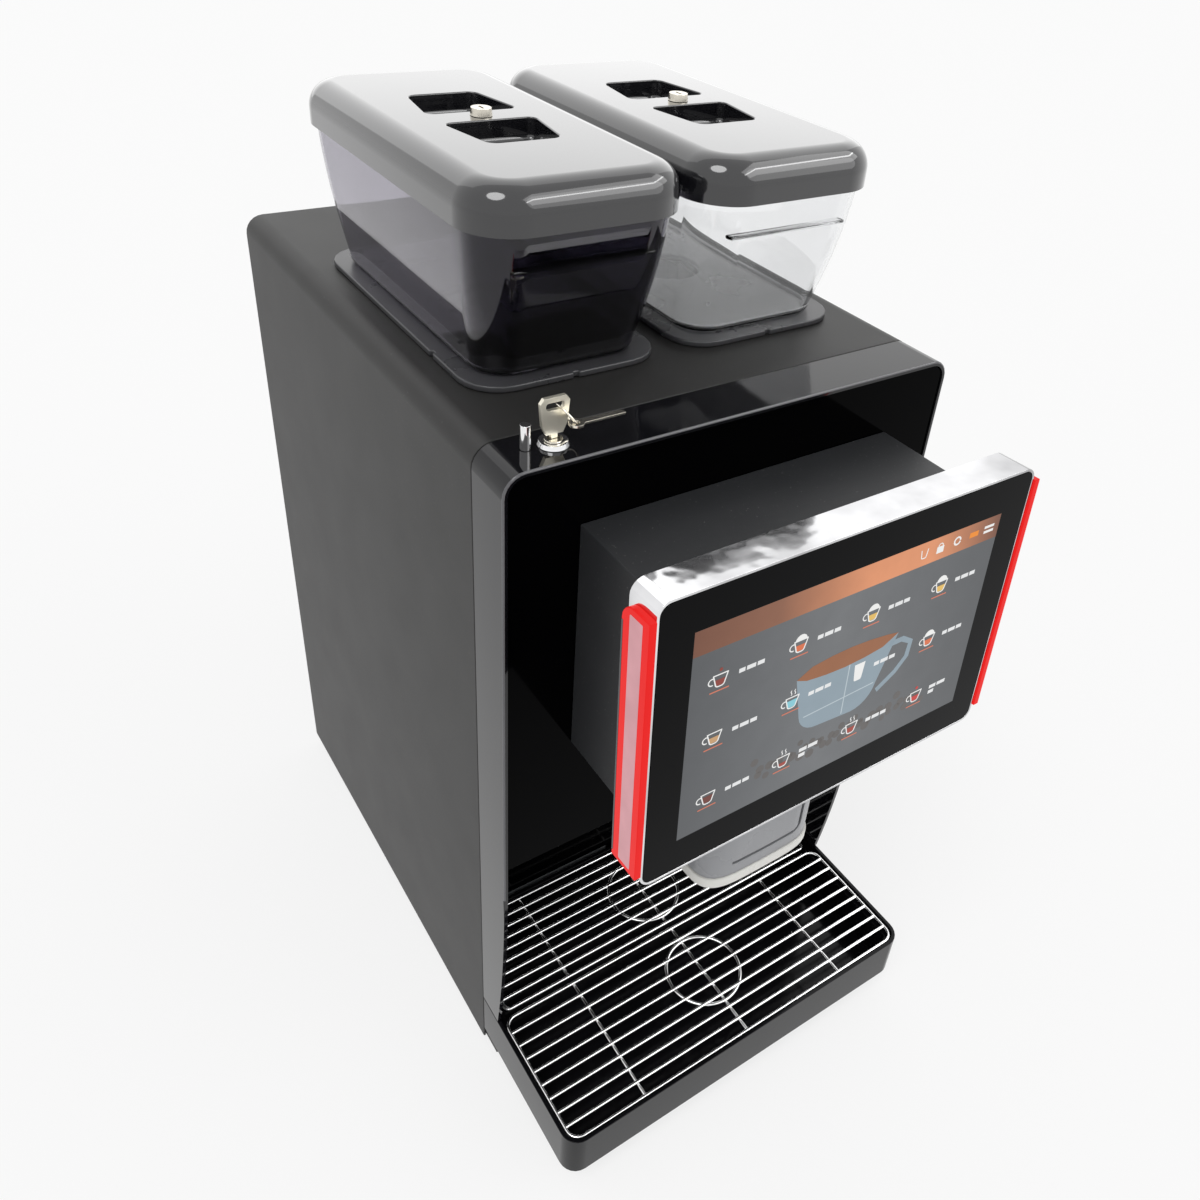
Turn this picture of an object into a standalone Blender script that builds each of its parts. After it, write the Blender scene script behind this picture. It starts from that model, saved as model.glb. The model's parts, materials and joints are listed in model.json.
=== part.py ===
"""Table-top hot coffee vending machine, modelled as the separate pieces it is put together from.

Units are metres, +Z is up and the front faces -Y. The origin is the centre of the footprint, on
the surface that the feet stand on. Every size that can be set by itself is named once below, and
what fits in, sits on or lines up with another piece takes its size and place from the same names.
"""

import math

import bmesh
import bpy
from mathutils import Matrix, Vector

# ---- clearances --------------------------------------------------------------------------------
FIT = 0.0003  # gap between two pieces that touch
RUN = 0.0005  # gap between two pieces that slide or turn on each other
OVER = 0.002  # how far a cutter reaches past the face it cuts

# ---- cabinet -----------------------------------------------------------------------------------
CABINET_W = 0.333
CABINET_D = 0.435  # door face to the rear edge of the wrap
CABINET_H = 0.564  # lower edge of the wrap to its top face
FOOT_H = 0.010
FOOT_R = 0.015
FOOT_INSET = 0.045
FOOT_STEM_R = 0.006
DISPLAY_REACH = 0.1126  # door face to the foremost edge of the display
SHEET = 0.002
EDGE_R = 0.014  # rounded long edges of the wrap and of the door
PANEL_STEP = 0.002  # rear panel set in from the wrap's rear edge
PAN_H = 0.010
PAN_REACH = 0.0186  # door face back to the front edge of the base pan
RUNNER_X = 0.100
RUNNER_W = 0.008

# ---- door --------------------------------------------------------------------------------------
DOOR_D = 0.036
DOOR_SEAM = 0.001
DOOR_WALL = 0.003
DOOR_OVER_TRAY = 0.0015
PANEL_T = 0.003
PANEL_INSET = 0.001
NICHE_TOP = 0.250  # height of the cup space above the wrap's lower edge
NICHE_DEPTH = 0.112  # door face to the inner face of the cup space's back wall
SIDE_SWEEP_TOP = 0.220  # the door's side walls curve back below this height
SIDE_SWEEP = 0.012
DECK_GAP = 0.008  # service deck above the cup space's ceiling
HINGE_AXIS_X = 0.007  # in from the door's outer face
HINGE_AXIS_Y = 0.0065  # forward from the door's rear edge
KNUCKLE_R = 0.0035
KNUCKLE_L = 0.014
HINGE_PIN_R = 0.0016
HINGE_DROP = 0.059  # upper hinge below the cabinet's top face
HINGE_RISE = 0.035  # lower hinge above the cup space's ceiling
LEAF_T = 0.002
LEAF_D = 0.022

# ---- display -----------------------------------------------------------------------------------
GLASS_W = 0.273
GLASS_H = 0.197
GLASS_T = 0.002
GLASS_DROP = 0.121  # glass centre below the cabinet's top face
GLASS_LEAN = math.radians(2.5)
RIM = 0.002
RIM_LEDGE = 0.005
RIM_R = 0.009
HEAD_D = 0.024
LCD_W = GLASS_W - 2 * 0.022  # the screen stops this far inside the glass's edges
LCD_H = GLASS_H - 2 * 0.024
LCD_T = 0.006
BOX_W = GLASS_W - 2 * 0.0185
BOX_BELOW = 0.093  # box's underside below the glass centre
BOX_ABOVE = 0.077
BACK_FLANGE = 0.002
BAR_T = 0.0045
BAR_PROUD = 0.0012
BAR_LOW = -0.089
BAR_HIGH = 0.091
BAR_CORNER = 0.010

# ---- lock, key and release pin on top of the door ----------------------------------------------
LOCK_INSET = 0.0405  # in from the door's left face
LOCK_AHEAD = 0.017  # of the door's rear edge
COLLAR_R = 0.009
COLLAR_H = 0.0025
BARREL_R = 0.0072
BARREL_L = 0.018
PLUG_R = 0.0052
PLUG_PROUD = 0.004
CAM_T = 0.002
CAM_REACH = 0.028
CAM_BAND = 0.004
KEEPER_R = 0.0195
KEEPER_T = 0.003
BOW_W = 0.022
BOW_H = 0.022
BOW_T = 0.0026
KEY_SLOT_W = 0.014
KEY_SLOT_H = 0.0045
RING_R = 0.009
RING_WIRE = 0.0007
RING_HANG = math.radians(35)
SPARE_L = 0.030
SPARE_W = 0.008
SPARE_T = 0.0014
PIN_INSET = 0.0245
PIN_AHEAD = 0.015
PIN_R = 0.003
PIN_UP = 0.015
PIN_DOWN = 0.012

# ---- spout -------------------------------------------------------------------------------------
SPOUT_W = 0.100
SPOUT_REACH = 0.075
SPOUT_FLAT = 0.040
SPOUT_DROP = 0.020  # at rest, below the cup space's ceiling
SPOUT_TOP_GAP = 0.007  # under the display box
SPOUT_WALL = 0.003
SPOUT_BACK = 0.014
RAIL_W = 0.020
RAIL_NECK = 0.010
RAIL_LIP = 0.004
RAIL_D = 0.009
NOZZLE_X = 0.016
NOZZLE_R = 0.006
NOZZLE_BORE = 0.004
NOZZLE_Y = 0.031

# ---- drip tray and its two grilles -------------------------------------------------------------
TRAY_REACH = 0.101
TRAY_LOW = 0.014
TRAY_TOP = 0.056
TRAY_WALL = 0.003
TRAY_LEDGE = 0.0055
TRAY_FLOOR = 0.003
TRAY_R = 0.014
TRAY_NARROW = 0.006  # how much narrower each side is inside the cabinet
TRAY_REAR_GAP = 0.002
TRAY_RIM = 0.001  # rim above the grille bars
WIRE = 0.003
GRILLE_SPLIT = 0.0145  # behind the door face, between the two grilles
GRILLE_GAP = 0.004
BARS = 10
CROSS_X = 0.098
CUP_RING_R = 0.031

# ---- hoppers -----------------------------------------------------------------------------------
HOPPER_Y = 0.205  # behind the door face
CAN_MOUTH_W = 0.136
CAN_MOUTH_D = 0.272
CAN_TAPER_W = 0.022  # how much narrower the foot is than the mouth
CAN_TAPER_D = 0.043
CAN_H = 0.098
CAN_WALL = 0.0025
CAN_R = 0.030
CAN_FOOT_R = 0.022
CAN_BULGE = 1.6  # how early the walls flare: 1 would be straight
FLANGE_LIP = 0.0095  # flange beyond the canister's foot, all round
FLANGE_T = 0.004
FLANGE_R = 0.026
THROAT_R = 0.022
THROAT_WALL = 0.003
THROAT_CUT = 0.0015
LID_H = 0.027
LID_FILLET = 0.017
LID_WALL = 0.0025
LID_SKIRT = 0.0013  # wall of the skirt outside the canister's mouth
LID_LAP = 0.0012  # clearance between the lid's skirt and the canister's mouth
LID_OVERLAP = 0.0056  # how far the skirt reaches below the mouth
LID_GAP = 0.008  # between the two lids
GRIP_WIDE = 0.062
GRIP_NARROW = 0.047
GRIP_L = 0.048
GRIP_GAP = 0.022
GRIP_DEPTH = 0.014
KNOB_R = 0.007
KNOB_H = 0.008
KNOB_STEM_R = 0.0045
LATCH_L = 0.022

# ---- inside the cabinet ------------------------------------------------------------------------
BURR_R = 0.028
BURR_H = 0.020
MILL_R = 0.046
MILL_H = 0.062
MILL_CHUTE_R = 0.012
MOTOR_R = 0.032
MOTOR_FOOT = 0.038
MOTOR_FOOT_T = 0.006
BREW_Y = 0.128
BREW_W = 0.070
BREW_D = 0.064
BREW_H = 0.120
PISTON_R = 0.021
PISTON_T = 0.012
PISTON_IN = 0.006
PISTON_ROD_R = 0.007
PISTON_ROD_L = 0.060
AUGER_R = 0.014
AUGER_SHAFT_R = 0.004
AUGER_L = 0.120
AUGER_WALL = 0.003
AUGER_PITCH = 0.028
AUGER_DROP = 0.037  # tube's axis below the cabinet's top face
DRIVE_W = 0.056
DRIVE_D = 0.050
BOWL_TOP_R = 0.034
BOWL_LOW_R = 0.019
BOWL_H = 0.070
BOWL_WALL = 0.0025
BOWL_Y = 0.128
BOWL_DROP = 0.132  # bowl's foot below the screw's axis
WHIP_R = 0.012
WHIP_SHAFT_R = 0.0025
WHIP_BODY_R = 0.024
BOILER_R = 0.044
BOILER_H = 0.190
BOILER_X = 0.088
BOILER_Y = 0.340
PUMP_R = 0.024
PUMP_L = 0.110
PUMP_X = -0.010
PUMP_Y = 0.300
SUPPLY = (0.060, 0.120, 0.150)
SUPPLY_X = -0.110
SUPPLY_Y = 0.345
BIN_W = 0.150
BIN_D = 0.130
BIN_H = 0.190
BIN_X = -0.078
BIN_WALL = 0.002
BOARD_W = 0.150
BOARD_H = 0.110
BOARD_T = 0.0016
BOARD_Z = 0.345
STANDOFF_R = 0.003
STANDOFF_L = 0.008
FAN_SIZE = 0.080
FAN_D = 0.025
FAN_X = 0.085
FAN_Z = 0.470
FAN_BORE_R = 0.037
FAN_HUB_R = 0.014
FAN_TIP_R = 0.0355
FAN_BLADES = 7
NICHE_WALL = 0.002
POCKET = 0.050
POCKET_D = 0.026
WATER_X = 0.100
INLET_Z = 0.070
MAINS_X = -0.110
MAINS_W = 0.048
MAINS_H = 0.032

# ---- details: cabinet --------------------------------------------------------------------------
WATER_BODY_R = 0.010
WATER_BORE_R = 0.006
WATER_L = 0.020
WATER_HEX_R = 0.015
WATER_HEX_T = 0.008
VENTS = 7
VENT_W = 0.064
DECK_SKIRT = DECK_GAP - FIT
CHUTE_W = 0.040

# ---- details: hoppers --------------------------------------------------------------------------
NOTCH = 0.004
CAN_STEPS = 5
FILLET_STEPS = 4
BOSS_R = 0.009
LATCH_ROOM = 0.004
LATCH_T = 0.002
LATCH_W = 0.006
SLIT_W = 0.0016
SLIT_L = 0.007

# ---- details: mill, brewer and powder side -----------------------------------------------------
MILL_WALL = 0.004
MILL_SHAFT_R = 0.005
SHAFT_IN = 0.012
MOTOR_L = 0.120
BURR_TEETH = 14
BURR_TOOTH = 0.003
BURR_TAPER = 0.72
BREW_FLOOR = 0.010
SCREW_STEPS = 9
BLADE_T = 0.0012
BOWL_SHIFT = 0.006
WHIP_STAND = 0.030
WHIP_MOTOR_L = 0.055
WHIP_T = 0.003
WHIP_VANE = 0.0008

# ---- details: water, power and waste -----------------------------------------------------------
PORT_R = 0.005
PORT_L = 0.012
PUMP_RAISE = 0.006
SUPPLY_SLOTS = 6
SLOT_DEPTH = 0.002
MAINS_LIP = 0.004
MAINS_D = 0.016
SOCKET_W = 0.026
SOCKET_H = 0.018
PRONG_T = 0.002
PRONG_W = 0.005
BOARD_X = -0.060
CHIPS = (  # place across and up as shares of the board, then width, height and depth
    (-0.25, 0.55, 0.030, 0.024, 0.012),
    (0.20, 0.30, 0.022, 0.022, 0.006),
    (0.28, 0.72, 0.034, 0.014, 0.014),
)
SPIDER_T = 0.003
SPIDER_W = 0.005
FAN_AXLE_R = 0.003
BLADE_CHORD = 0.010
BLADE_THICK = 0.0008
BLADE_PITCH = 35

# ---- details: door -----------------------------------------------------------------------------
SWEEP_STEPS = 8
NOTCH_ROOM = 0.002
HINGE_NOTCH = 0.010
COVER_BACK = 0.0032
COVER_DROP = 0.006
COVER_SIDE = 0.004
WINDOW_UP = 0.030
WINDOW_W = 0.080
WINDOW_H = 0.040

# ---- details: display --------------------------------------------------------------------------
CABLE_R = 0.012

# ---- details: lock, key and release pin --------------------------------------------------------
CAM_FROM = -20
CAM_TO = 25
ARM_TURN = 4
BLADE_W = 0.006
BLADE_IN = 0.012
STEM_L = 0.003
BOW_CUT = 0.003
BOW_NECK = 0.0158
RING_SLACK = 0.0003
SPARE_HEAD_R = 0.0045
SPARE_HOLE_R = 0.0020
PIN_COLLAR = 0.0015
PIN_COLLAR_T = 0.002

# ---- details: spout ----------------------------------------------------------------------------
BOW_STEPS = 14
OUTLET_UP = 0.020
OUTLET_T = 0.010

# ---- details: drip tray and grilles ------------------------------------------------------------
CROSS_SINK = 0.0022
RING_SIDES = 28
RING_SINK = 0.0005
FRONT_RING_Y = -0.035
REAR_RING_Y = 0.056

# ---- levels and planes worked out from the sizes above -----------------------------------------
HALF_W = CABINET_W / 2
FACE_Y = (DISPLAY_REACH - CABINET_D) / 2
REAR_Y = FACE_Y + CABINET_D
BASE_Z = FOOT_H
TOP_Z = BASE_Z + CABINET_H
SEAM_Y = FACE_Y + DOOR_D + DOOR_SEAM
PANEL_REAR_Y = REAR_Y - PANEL_STEP
PANEL_FRONT_Y = PANEL_REAR_Y - SHEET
INNER_X = HALF_W - SHEET - FIT
NICHE_Z = BASE_Z + NICHE_TOP
DECK_Z = NICHE_Z + DECK_GAP
DECK_TOP = DECK_Z + SHEET
PAN_TOP = BASE_Z + PAN_H
TRAY_TOP_Z = BASE_Z + TRAY_TOP
DOOR_LOW_Z = TRAY_TOP_Z + DOOR_OVER_TRAY
DOOR_REAR_Y = FACE_Y + DOOR_D
DOOR_INNER_X = HALF_W - DOOR_WALL
DOOR_INNER_Z = TOP_Z - DOOR_WALL
PANEL_Y = FACE_Y + PANEL_INSET
PANEL_BACK_Y = PANEL_Y + PANEL_T
AXIS_X = HALF_W - HINGE_AXIS_X
AXIS_Y = DOOR_REAR_Y - HINGE_AXIS_Y
DOOR_AXIS = (AXIS_X, AXIS_Y, NICHE_Z)
RIM_FORWARD = math.sin(GLASS_LEAN) * (GLASS_H / 2 + RIM)
BAR_FORWARD = math.cos(GLASS_LEAN) * BAR_PROUD - math.sin(GLASS_LEAN) * BAR_LOW
HEAD_Y = FACE_Y - DISPLAY_REACH + max(RIM_FORWARD, BAR_FORWARD)
HEAD_CENTRE = Vector((0, HEAD_Y, TOP_Z - GLASS_DROP))
LEAN = Matrix.Translation(HEAD_CENTRE) @ Matrix.Rotation(-GLASS_LEAN, 4, "X")
BOX_LOW_Z = HEAD_CENTRE.z - BOX_BELOW
BOX_HIGH_Z = HEAD_CENTRE.z + BOX_ABOVE
HINGE_Z = {"upper": TOP_Z - HINGE_DROP, "lower": NICHE_Z + HINGE_RISE}
LOCK = Vector((LOCK_INSET - HALF_W, DOOR_REAR_Y - LOCK_AHEAD, TOP_Z))
PIN = Vector((PIN_INSET - HALF_W, DOOR_REAR_Y - PIN_AHEAD, TOP_Z))
SPOUT_LOW_Z = NICHE_Z - SPOUT_DROP
SPOUT_TOP_Z = BOX_LOW_Z - SPOUT_TOP_GAP
SPOUT_REAR_Y = PANEL_Y - RUN
FLANGE_TOP = TOP_Z + FIT + FLANGE_T
CAN_LOW = FLANGE_TOP + FIT
CAN_TOP = CAN_LOW + CAN_H
CAN_FOOT_W = CAN_MOUTH_W - CAN_TAPER_W
CAN_FOOT_D = CAN_MOUTH_D - CAN_TAPER_D
FLANGE_W = CAN_FOOT_W + 2 * FLANGE_LIP
FLANGE_D = CAN_FOOT_D + 2 * FLANGE_LIP
LID_BEYOND = LID_LAP + LID_SKIRT  # lid's edge beyond the canister's mouth
LID_W = CAN_MOUTH_W + 2 * LID_BEYOND
LID_D = CAN_MOUTH_D + 2 * LID_BEYOND
LID_R = CAN_R + LID_BEYOND
LID_LOW_Z = CAN_TOP - LID_OVERLAP
LID_TOP_Z = LID_LOW_Z + LID_H
HOPPER_X = (LID_W + LID_GAP) / 2
HOPPER_CENTRE_Y = FACE_Y + HOPPER_Y
BREW_X = -HOPPER_X
MILL_TOP = TOP_Z - SHEET - FIT
MILL_LOW = MILL_TOP - MILL_H
GRILLE_Z = TRAY_TOP_Z - TRAY_RIM - WIRE
AUGER_Z = TOP_Z - AUGER_DROP
AUGER_END_Y = FACE_Y + BOWL_Y - AUGER_R
BOWL_LOW_Z = AUGER_Z - BOWL_DROP
SIDES = {"left": -1, "right": 1}

FINISHES = {
    "powder_coat": ((0.035, 0.034, 0.033), 0.62, 0.0),
    "gloss_black": ((0.004, 0.004, 0.005), 0.06, 0.0),
    "satin_black": ((0.020, 0.020, 0.021), 0.38, 0.0),
    "bright_chrome": ((0.82, 0.82, 0.83), 0.08, 1.0),
    "nickel": ((0.70, 0.67, 0.60), 0.22, 1.0),
    "zinc_sheet": ((0.55, 0.56, 0.57), 0.40, 1.0),
    "stainless": ((0.62, 0.62, 0.62), 0.28, 1.0),
    "touch_glass": ((0.005, 0.005, 0.006), 0.04, 0.0),
    "lcd": ((0.10, 0.11, 0.12), 0.30, 0.0),
    "light_red": ((0.85, 0.05, 0.04), 0.25, 0.0),
    "smoked_clear": ((0.20, 0.18, 0.24), 0.05, 0.0),
    "water_clear": ((0.80, 0.82, 0.84), 0.04, 0.0),
    "spout_grey": ((0.32, 0.32, 0.33), 0.35, 0.0),
    "rubber": ((0.015, 0.015, 0.015), 0.85, 0.0),
    "circuit_green": ((0.02, 0.16, 0.06), 0.45, 0.0),
    "warm_white": ((0.72, 0.70, 0.65), 0.40, 0.0),
    "food_grey": ((0.20, 0.21, 0.22), 0.45, 0.0),
}


def about(centre, size):
    """The two ends of a size that is centred on a value."""
    return centre - size / 2, centre + size / 2


# ---- outlines: lists of two-number points, in order round the shape ----------------------------
def arc(u, v, radius, start, end, steps):
    """Points of a circular arc from start to end, in degrees, ends included."""
    angles = [math.radians(start + (end - start) * i / steps) for i in range(steps + 1)]
    return [(u + radius * math.cos(a), v + radius * math.sin(a)) for a in angles]


def rounded(width, depth, radius, centre=(0, 0), steps=5):
    """A rectangle with four rounded corners."""
    u, v = width / 2 - radius, depth / 2 - radius
    points = []
    for turn, (su, sv) in enumerate(((1, 1), (-1, 1), (-1, -1), (1, -1))):
        corner = (centre[0] + su * u, centre[1] + sv * v)
        points += arc(*corner, radius, 90 * turn, 90 * turn + 90, steps)
    return points


def arch(half_width, low, high, radius, steps=6):
    """An upright rectangle whose two upper corners are rounded."""
    right = arc(half_width - radius, high - radius, radius, 0, 90, steps)
    left = arc(radius - half_width, high - radius, radius, 90, 180, steps)
    return [(half_width, low)] + right + left + [(-half_width, low)]


def stepped_plan(grow, front, step, rear):
    """The tray's plan: full width in front of the cabinet and narrower inside it."""
    wide = HALF_W + grow
    narrow = HALF_W - TRAY_NARROW + grow
    radius = max(TRAY_R + grow, OVER)
    left = arc(radius - wide, front + radius, radius, 180, 270, 6)
    right = arc(wide - radius, front + radius, radius, 270, 360, 6)
    right_step = [(wide, step), (narrow, step), (narrow, rear)]
    left_step = [(-narrow, rear), (-narrow, step), (-wide, step)]
    return left + right + right_step + left_step


# ---- closed shapes, as bmeshes in world coordinates --------------------------------------------
AXIS_FRAMES = {
    "x": Matrix(((0, 0, 1, 0), (1, 0, 0, 0), (0, 1, 0, 0), (0, 0, 0, 1))),
    "y": Matrix(((1, 0, 0, 0), (0, 0, -1, 0), (0, 1, 0, 0), (0, 0, 0, 1))),
    "z": Matrix.Identity(4),
}


def prism(outline, low, high, axis="z"):
    """An outline pushed along an axis: (y, z) for x, (x, z) for y and (x, y) for z."""
    if axis == "y":
        low, high = -high, -low
    shape = bmesh.new()
    ring = [shape.verts.new((u, v, low)) for u, v in outline]
    face = shape.faces.new(ring)
    pushed = bmesh.ops.extrude_face_region(shape, geom=[face])["geom"]
    moved = [item for item in pushed if isinstance(item, bmesh.types.BMVert)]
    bmesh.ops.translate(shape, vec=(0, 0, high - low), verts=moved)
    shape.transform(AXIS_FRAMES[axis])
    bmesh.ops.recalc_face_normals(shape, faces=shape.faces)
    return shape


def block(x, y, z):
    """A box from three (low, high) pairs."""
    shape = bmesh.new()
    bmesh.ops.create_cube(shape, size=1)
    spans = (x, y, z)
    shape.transform(Matrix.Diagonal([high - low for low, high in spans] + [1]))
    shape.transform(Matrix.Translation([(low + high) / 2 for low, high in spans]))
    return shape


def rod(radius, low, high, centre, axis="z", sides=24, end_radius=None):
    """A cylinder or cone along an axis; centre holds the two other coordinates, in X, Y, Z order."""
    shape = bmesh.new()
    far = radius if end_radius is None else end_radius
    bmesh.ops.create_cone(
        shape, cap_ends=True, segments=sides, radius1=radius, radius2=far, depth=high - low
    )
    middle = (low + high) / 2
    if axis == "z":
        shape.transform(Matrix.Translation((*centre, middle)))
    elif axis == "y":
        shape.transform(Matrix.Rotation(-math.pi / 2, 4, "X"))
        shape.transform(Matrix.Translation((centre[0], middle, centre[1])))
    else:
        shape.transform(Matrix.Rotation(math.pi / 2, 4, "Y"))
        shape.transform(Matrix.Translation((middle, *centre)))
    return shape


def loft(levels):
    """A closed skin through outlines of equal length, each given as (outline, height)."""
    shape = bmesh.new()
    rings = [[shape.verts.new((u, v, z)) for u, v in outline] for outline, z in levels]
    count = len(rings[0])
    for lower, upper in zip(rings, rings[1:]):
        for i in range(count):
            j = (i + 1) % count
            shape.faces.new((lower[i], lower[j], upper[j], upper[i]))
    shape.faces.new(rings[0])
    shape.faces.new(rings[-1])
    bmesh.ops.recalc_face_normals(shape, faces=shape.faces)
    return shape


def hoop(radius, wire, frame, sides=24, wire_sides=5):
    """A ring of round wire about the frame's Z axis."""
    shape = bmesh.new()
    section = []
    for k in range(wire_sides):
        a = 2 * math.pi * k / wire_sides
        section.append(shape.verts.new((radius + wire * math.cos(a), 0, wire * math.sin(a))))
    loop = [shape.edges.new((section[k - 1], section[k])) for k in range(wire_sides)]
    bmesh.ops.spin(
        shape,
        geom=section + loop,
        axis=(0, 0, 1),
        cent=(0, 0, 0),
        angle=2 * math.pi,
        steps=sides,
        use_merge=True,
    )
    bmesh.ops.remove_doubles(shape, verts=shape.verts, dist=1e-6)
    shape.transform(frame)
    bmesh.ops.recalc_face_normals(shape, faces=shape.faces)
    return shape


def together(shapes):
    """Several shapes as one bmesh, for a cutter or a union that holds them all."""
    whole = bmesh.new()
    for shape in shapes:
        part = bpy.data.meshes.new("part")
        shape.to_mesh(part)
        shape.free()
        whole.from_mesh(part)
        bpy.data.meshes.remove(part)
    return whole


def moved(shape, matrix):
    """The same shape after a transform."""
    shape.transform(matrix)
    bmesh.ops.recalc_face_normals(shape, faces=shape.faces)
    return shape


# ---- objects -----------------------------------------------------------------------------------
def clear_scene():
    """Remove every object of the opened scene."""
    for obj in list(bpy.data.objects):
        bpy.data.objects.remove(obj, do_unlink=True)


def finish_for(name, finish):
    """A Principled material for one piece."""
    colour, roughness, metallic = FINISHES[finish]
    look = bpy.data.materials.new(name + "_finish")
    look.use_nodes = True
    shader = look.node_tree.nodes["Principled BSDF"]
    shader.inputs["Base Color"].default_value = (*colour, 1)
    shader.inputs["Roughness"].default_value = roughness
    shader.inputs["Metallic"].default_value = metallic
    return look


def piece(name, shape, finish, origin=(0, 0, 0)):
    """One named piece from a bmesh in world coordinates, with its object's origin at the given point."""
    shape.transform(Matrix.Translation(-Vector(origin)))
    mesh = bpy.data.meshes.new(name)
    shape.to_mesh(mesh)
    shape.free()
    mesh.shade_smooth()
    mesh.set_sharp_from_angle(angle=math.radians(32))
    mesh.materials.append(finish_for(name, finish))
    obj = bpy.data.objects.new(name, mesh)
    obj.location = origin
    bpy.context.scene.collection.objects.link(obj)
    return obj


def boolean(obj, shape, operation, self_crossing=False):
    """Cut or join a piece with a helper shape that stays out of the render."""
    helper_mesh = bpy.data.meshes.new(f"{obj.name}_helper_{len(obj.modifiers)}")
    shape.to_mesh(helper_mesh)
    shape.free()
    helper = bpy.data.objects.new(helper_mesh.name, helper_mesh)
    helper.hide_render = True
    helper.display_type = "WIRE"
    bpy.context.scene.collection.objects.link(helper)
    change = obj.modifiers.new(operation.lower(), "BOOLEAN")
    change.operation = operation
    change.solver = "EXACT"
    change.use_self = self_crossing
    change.object = helper
    return obj


def cut(obj, *shapes):
    """Take shapes away from a piece, one after the other."""
    for shape in shapes:
        boolean(obj, shape, "DIFFERENCE")
    return obj


def weld(obj, *shapes):
    """Join shapes to a piece, one after the other."""
    for shape in shapes:
        boolean(obj, shape, "UNION")
    return obj


# ---- cabinet -----------------------------------------------------------------------------------
def cabinet_wrap():
    """Folded steel top and sides, with the hopper throats and the lock's keeper post."""
    outside = arch(HALF_W, BASE_Z, TOP_Z, EDGE_R)
    skin = piece("cabinet_wrap", prism(outside, SEAM_Y, REAR_Y, "y"), "powder_coat")
    hollow = arch(HALF_W - SHEET, BASE_Z - OVER, TOP_Z - SHEET, EDGE_R - SHEET)
    cut(skin, prism(hollow, SEAM_Y - OVER, REAR_Y + OVER, "y"))
    hole = THROAT_R + THROAT_WALL + THROAT_CUT
    for side in SIDES.values():
        centre = (side * HOPPER_X, HOPPER_CENTRE_Y)
        cut(skin, rod(hole, TOP_Z - SHEET - OVER, TOP_Z + OVER, centre))
    front = LOCK.y + KEEPER_R
    post_low = TOP_Z - DOOR_WALL - BARREL_L - 2 * CAM_T
    weld(skin, block(about(LOCK.x, 2 * KEEPER_T), (front, front + KEEPER_T), (post_low, TOP_Z - SHEET / 2)))
    return skin


def rear_panel():
    """Steel back with the drawn pocket for the water inlet, the mains inlet's hole and the fan's hole."""
    x = HALF_W - SHEET - FIT
    plan = arch(x, BASE_Z + FIT, TOP_Z - SHEET - FIT, EDGE_R - SHEET)
    panel = piece("rear_panel", prism(plan, PANEL_FRONT_Y, PANEL_REAR_Y, "y"), "powder_coat")
    z = BASE_Z + INLET_Z
    pocket = rounded(POCKET, POCKET, POCKET / 6, (WATER_X, z), 3)
    shell = rounded(POCKET + 2 * SHEET, POCKET + 2 * SHEET, POCKET / 6 + SHEET, (WATER_X, z), 3)
    weld(panel, prism(shell, PANEL_FRONT_Y - POCKET_D, PANEL_REAR_Y - SHEET / 2, "y"))
    cut(panel, prism(pocket, PANEL_FRONT_Y - POCKET_D + SHEET, REAR_Y, "y"))
    water_hole = rod(WATER_BODY_R + FIT, PANEL_FRONT_Y - POCKET_D - OVER, REAR_Y, (WATER_X, z), "y")
    mains_x = (MAINS_X - MAINS_W / 2, MAINS_X + MAINS_W / 2)
    mains_z = (z - MAINS_H / 2, z + MAINS_H / 2)
    cut(panel, water_hole, block(mains_x, (PANEL_FRONT_Y - OVER, REAR_Y), mains_z))
    vents = []
    pitch = FAN_SIZE / VENTS
    for i in range(VENTS):
        low = BASE_Z + FAN_Z - FAN_SIZE / 2 + (i + 0.25) * pitch
        width = (FAN_X - VENT_W / 2, FAN_X + VENT_W / 2)
        vents.append(block(width, (PANEL_FRONT_Y - OVER, REAR_Y), (low, low + pitch / 2)))
    return cut(panel, together(vents))


def base_pan():
    """Folded base: a plate with down-turned edges and the two runners that the drip tray slides on."""
    span_y = (FACE_Y + PAN_REACH, PANEL_FRONT_Y - FIT)
    pan = piece("base_pan", block((-INNER_X, INNER_X), span_y, (BASE_Z + FIT, PAN_TOP)), "satin_black")
    inner_y = (span_y[0] + SHEET, span_y[1] - SHEET)
    under = block((SHEET - INNER_X, INNER_X - SHEET), inner_y, (BASE_Z - OVER, PAN_TOP - SHEET))
    cut(pan, under)
    runner_z = (PAN_TOP - SHEET / 2, BASE_Z + TRAY_LOW - FIT)
    for side in SIDES.values():
        x = (side * RUNNER_X - RUNNER_W / 2, side * RUNNER_X + RUNNER_W / 2)
        weld(pan, block(x, (span_y[0] + SHEET, FACE_Y + NICHE_DEPTH - RUNNER_W), runner_z))
    return pan


def feet():
    """Four rubber feet whose stems reach up to the pan's plate."""
    rows = {"front": FACE_Y + PAN_REACH + FOOT_INSET, "rear": PANEL_FRONT_Y - FOOT_INSET}
    made = []
    for row, y in rows.items():
        for side_name, side in SIDES.items():
            centre = (side * (HALF_W - FOOT_INSET), y)
            pad = rod(FOOT_R, 0, FOOT_H, centre)
            foot = piece(f"foot_{row}_{side_name}", pad, "rubber")
            weld(foot, rod(FOOT_STEM_R, FOOT_H / 2, PAN_TOP - SHEET - FIT, centre))
            made.append(foot)
    return made


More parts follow.
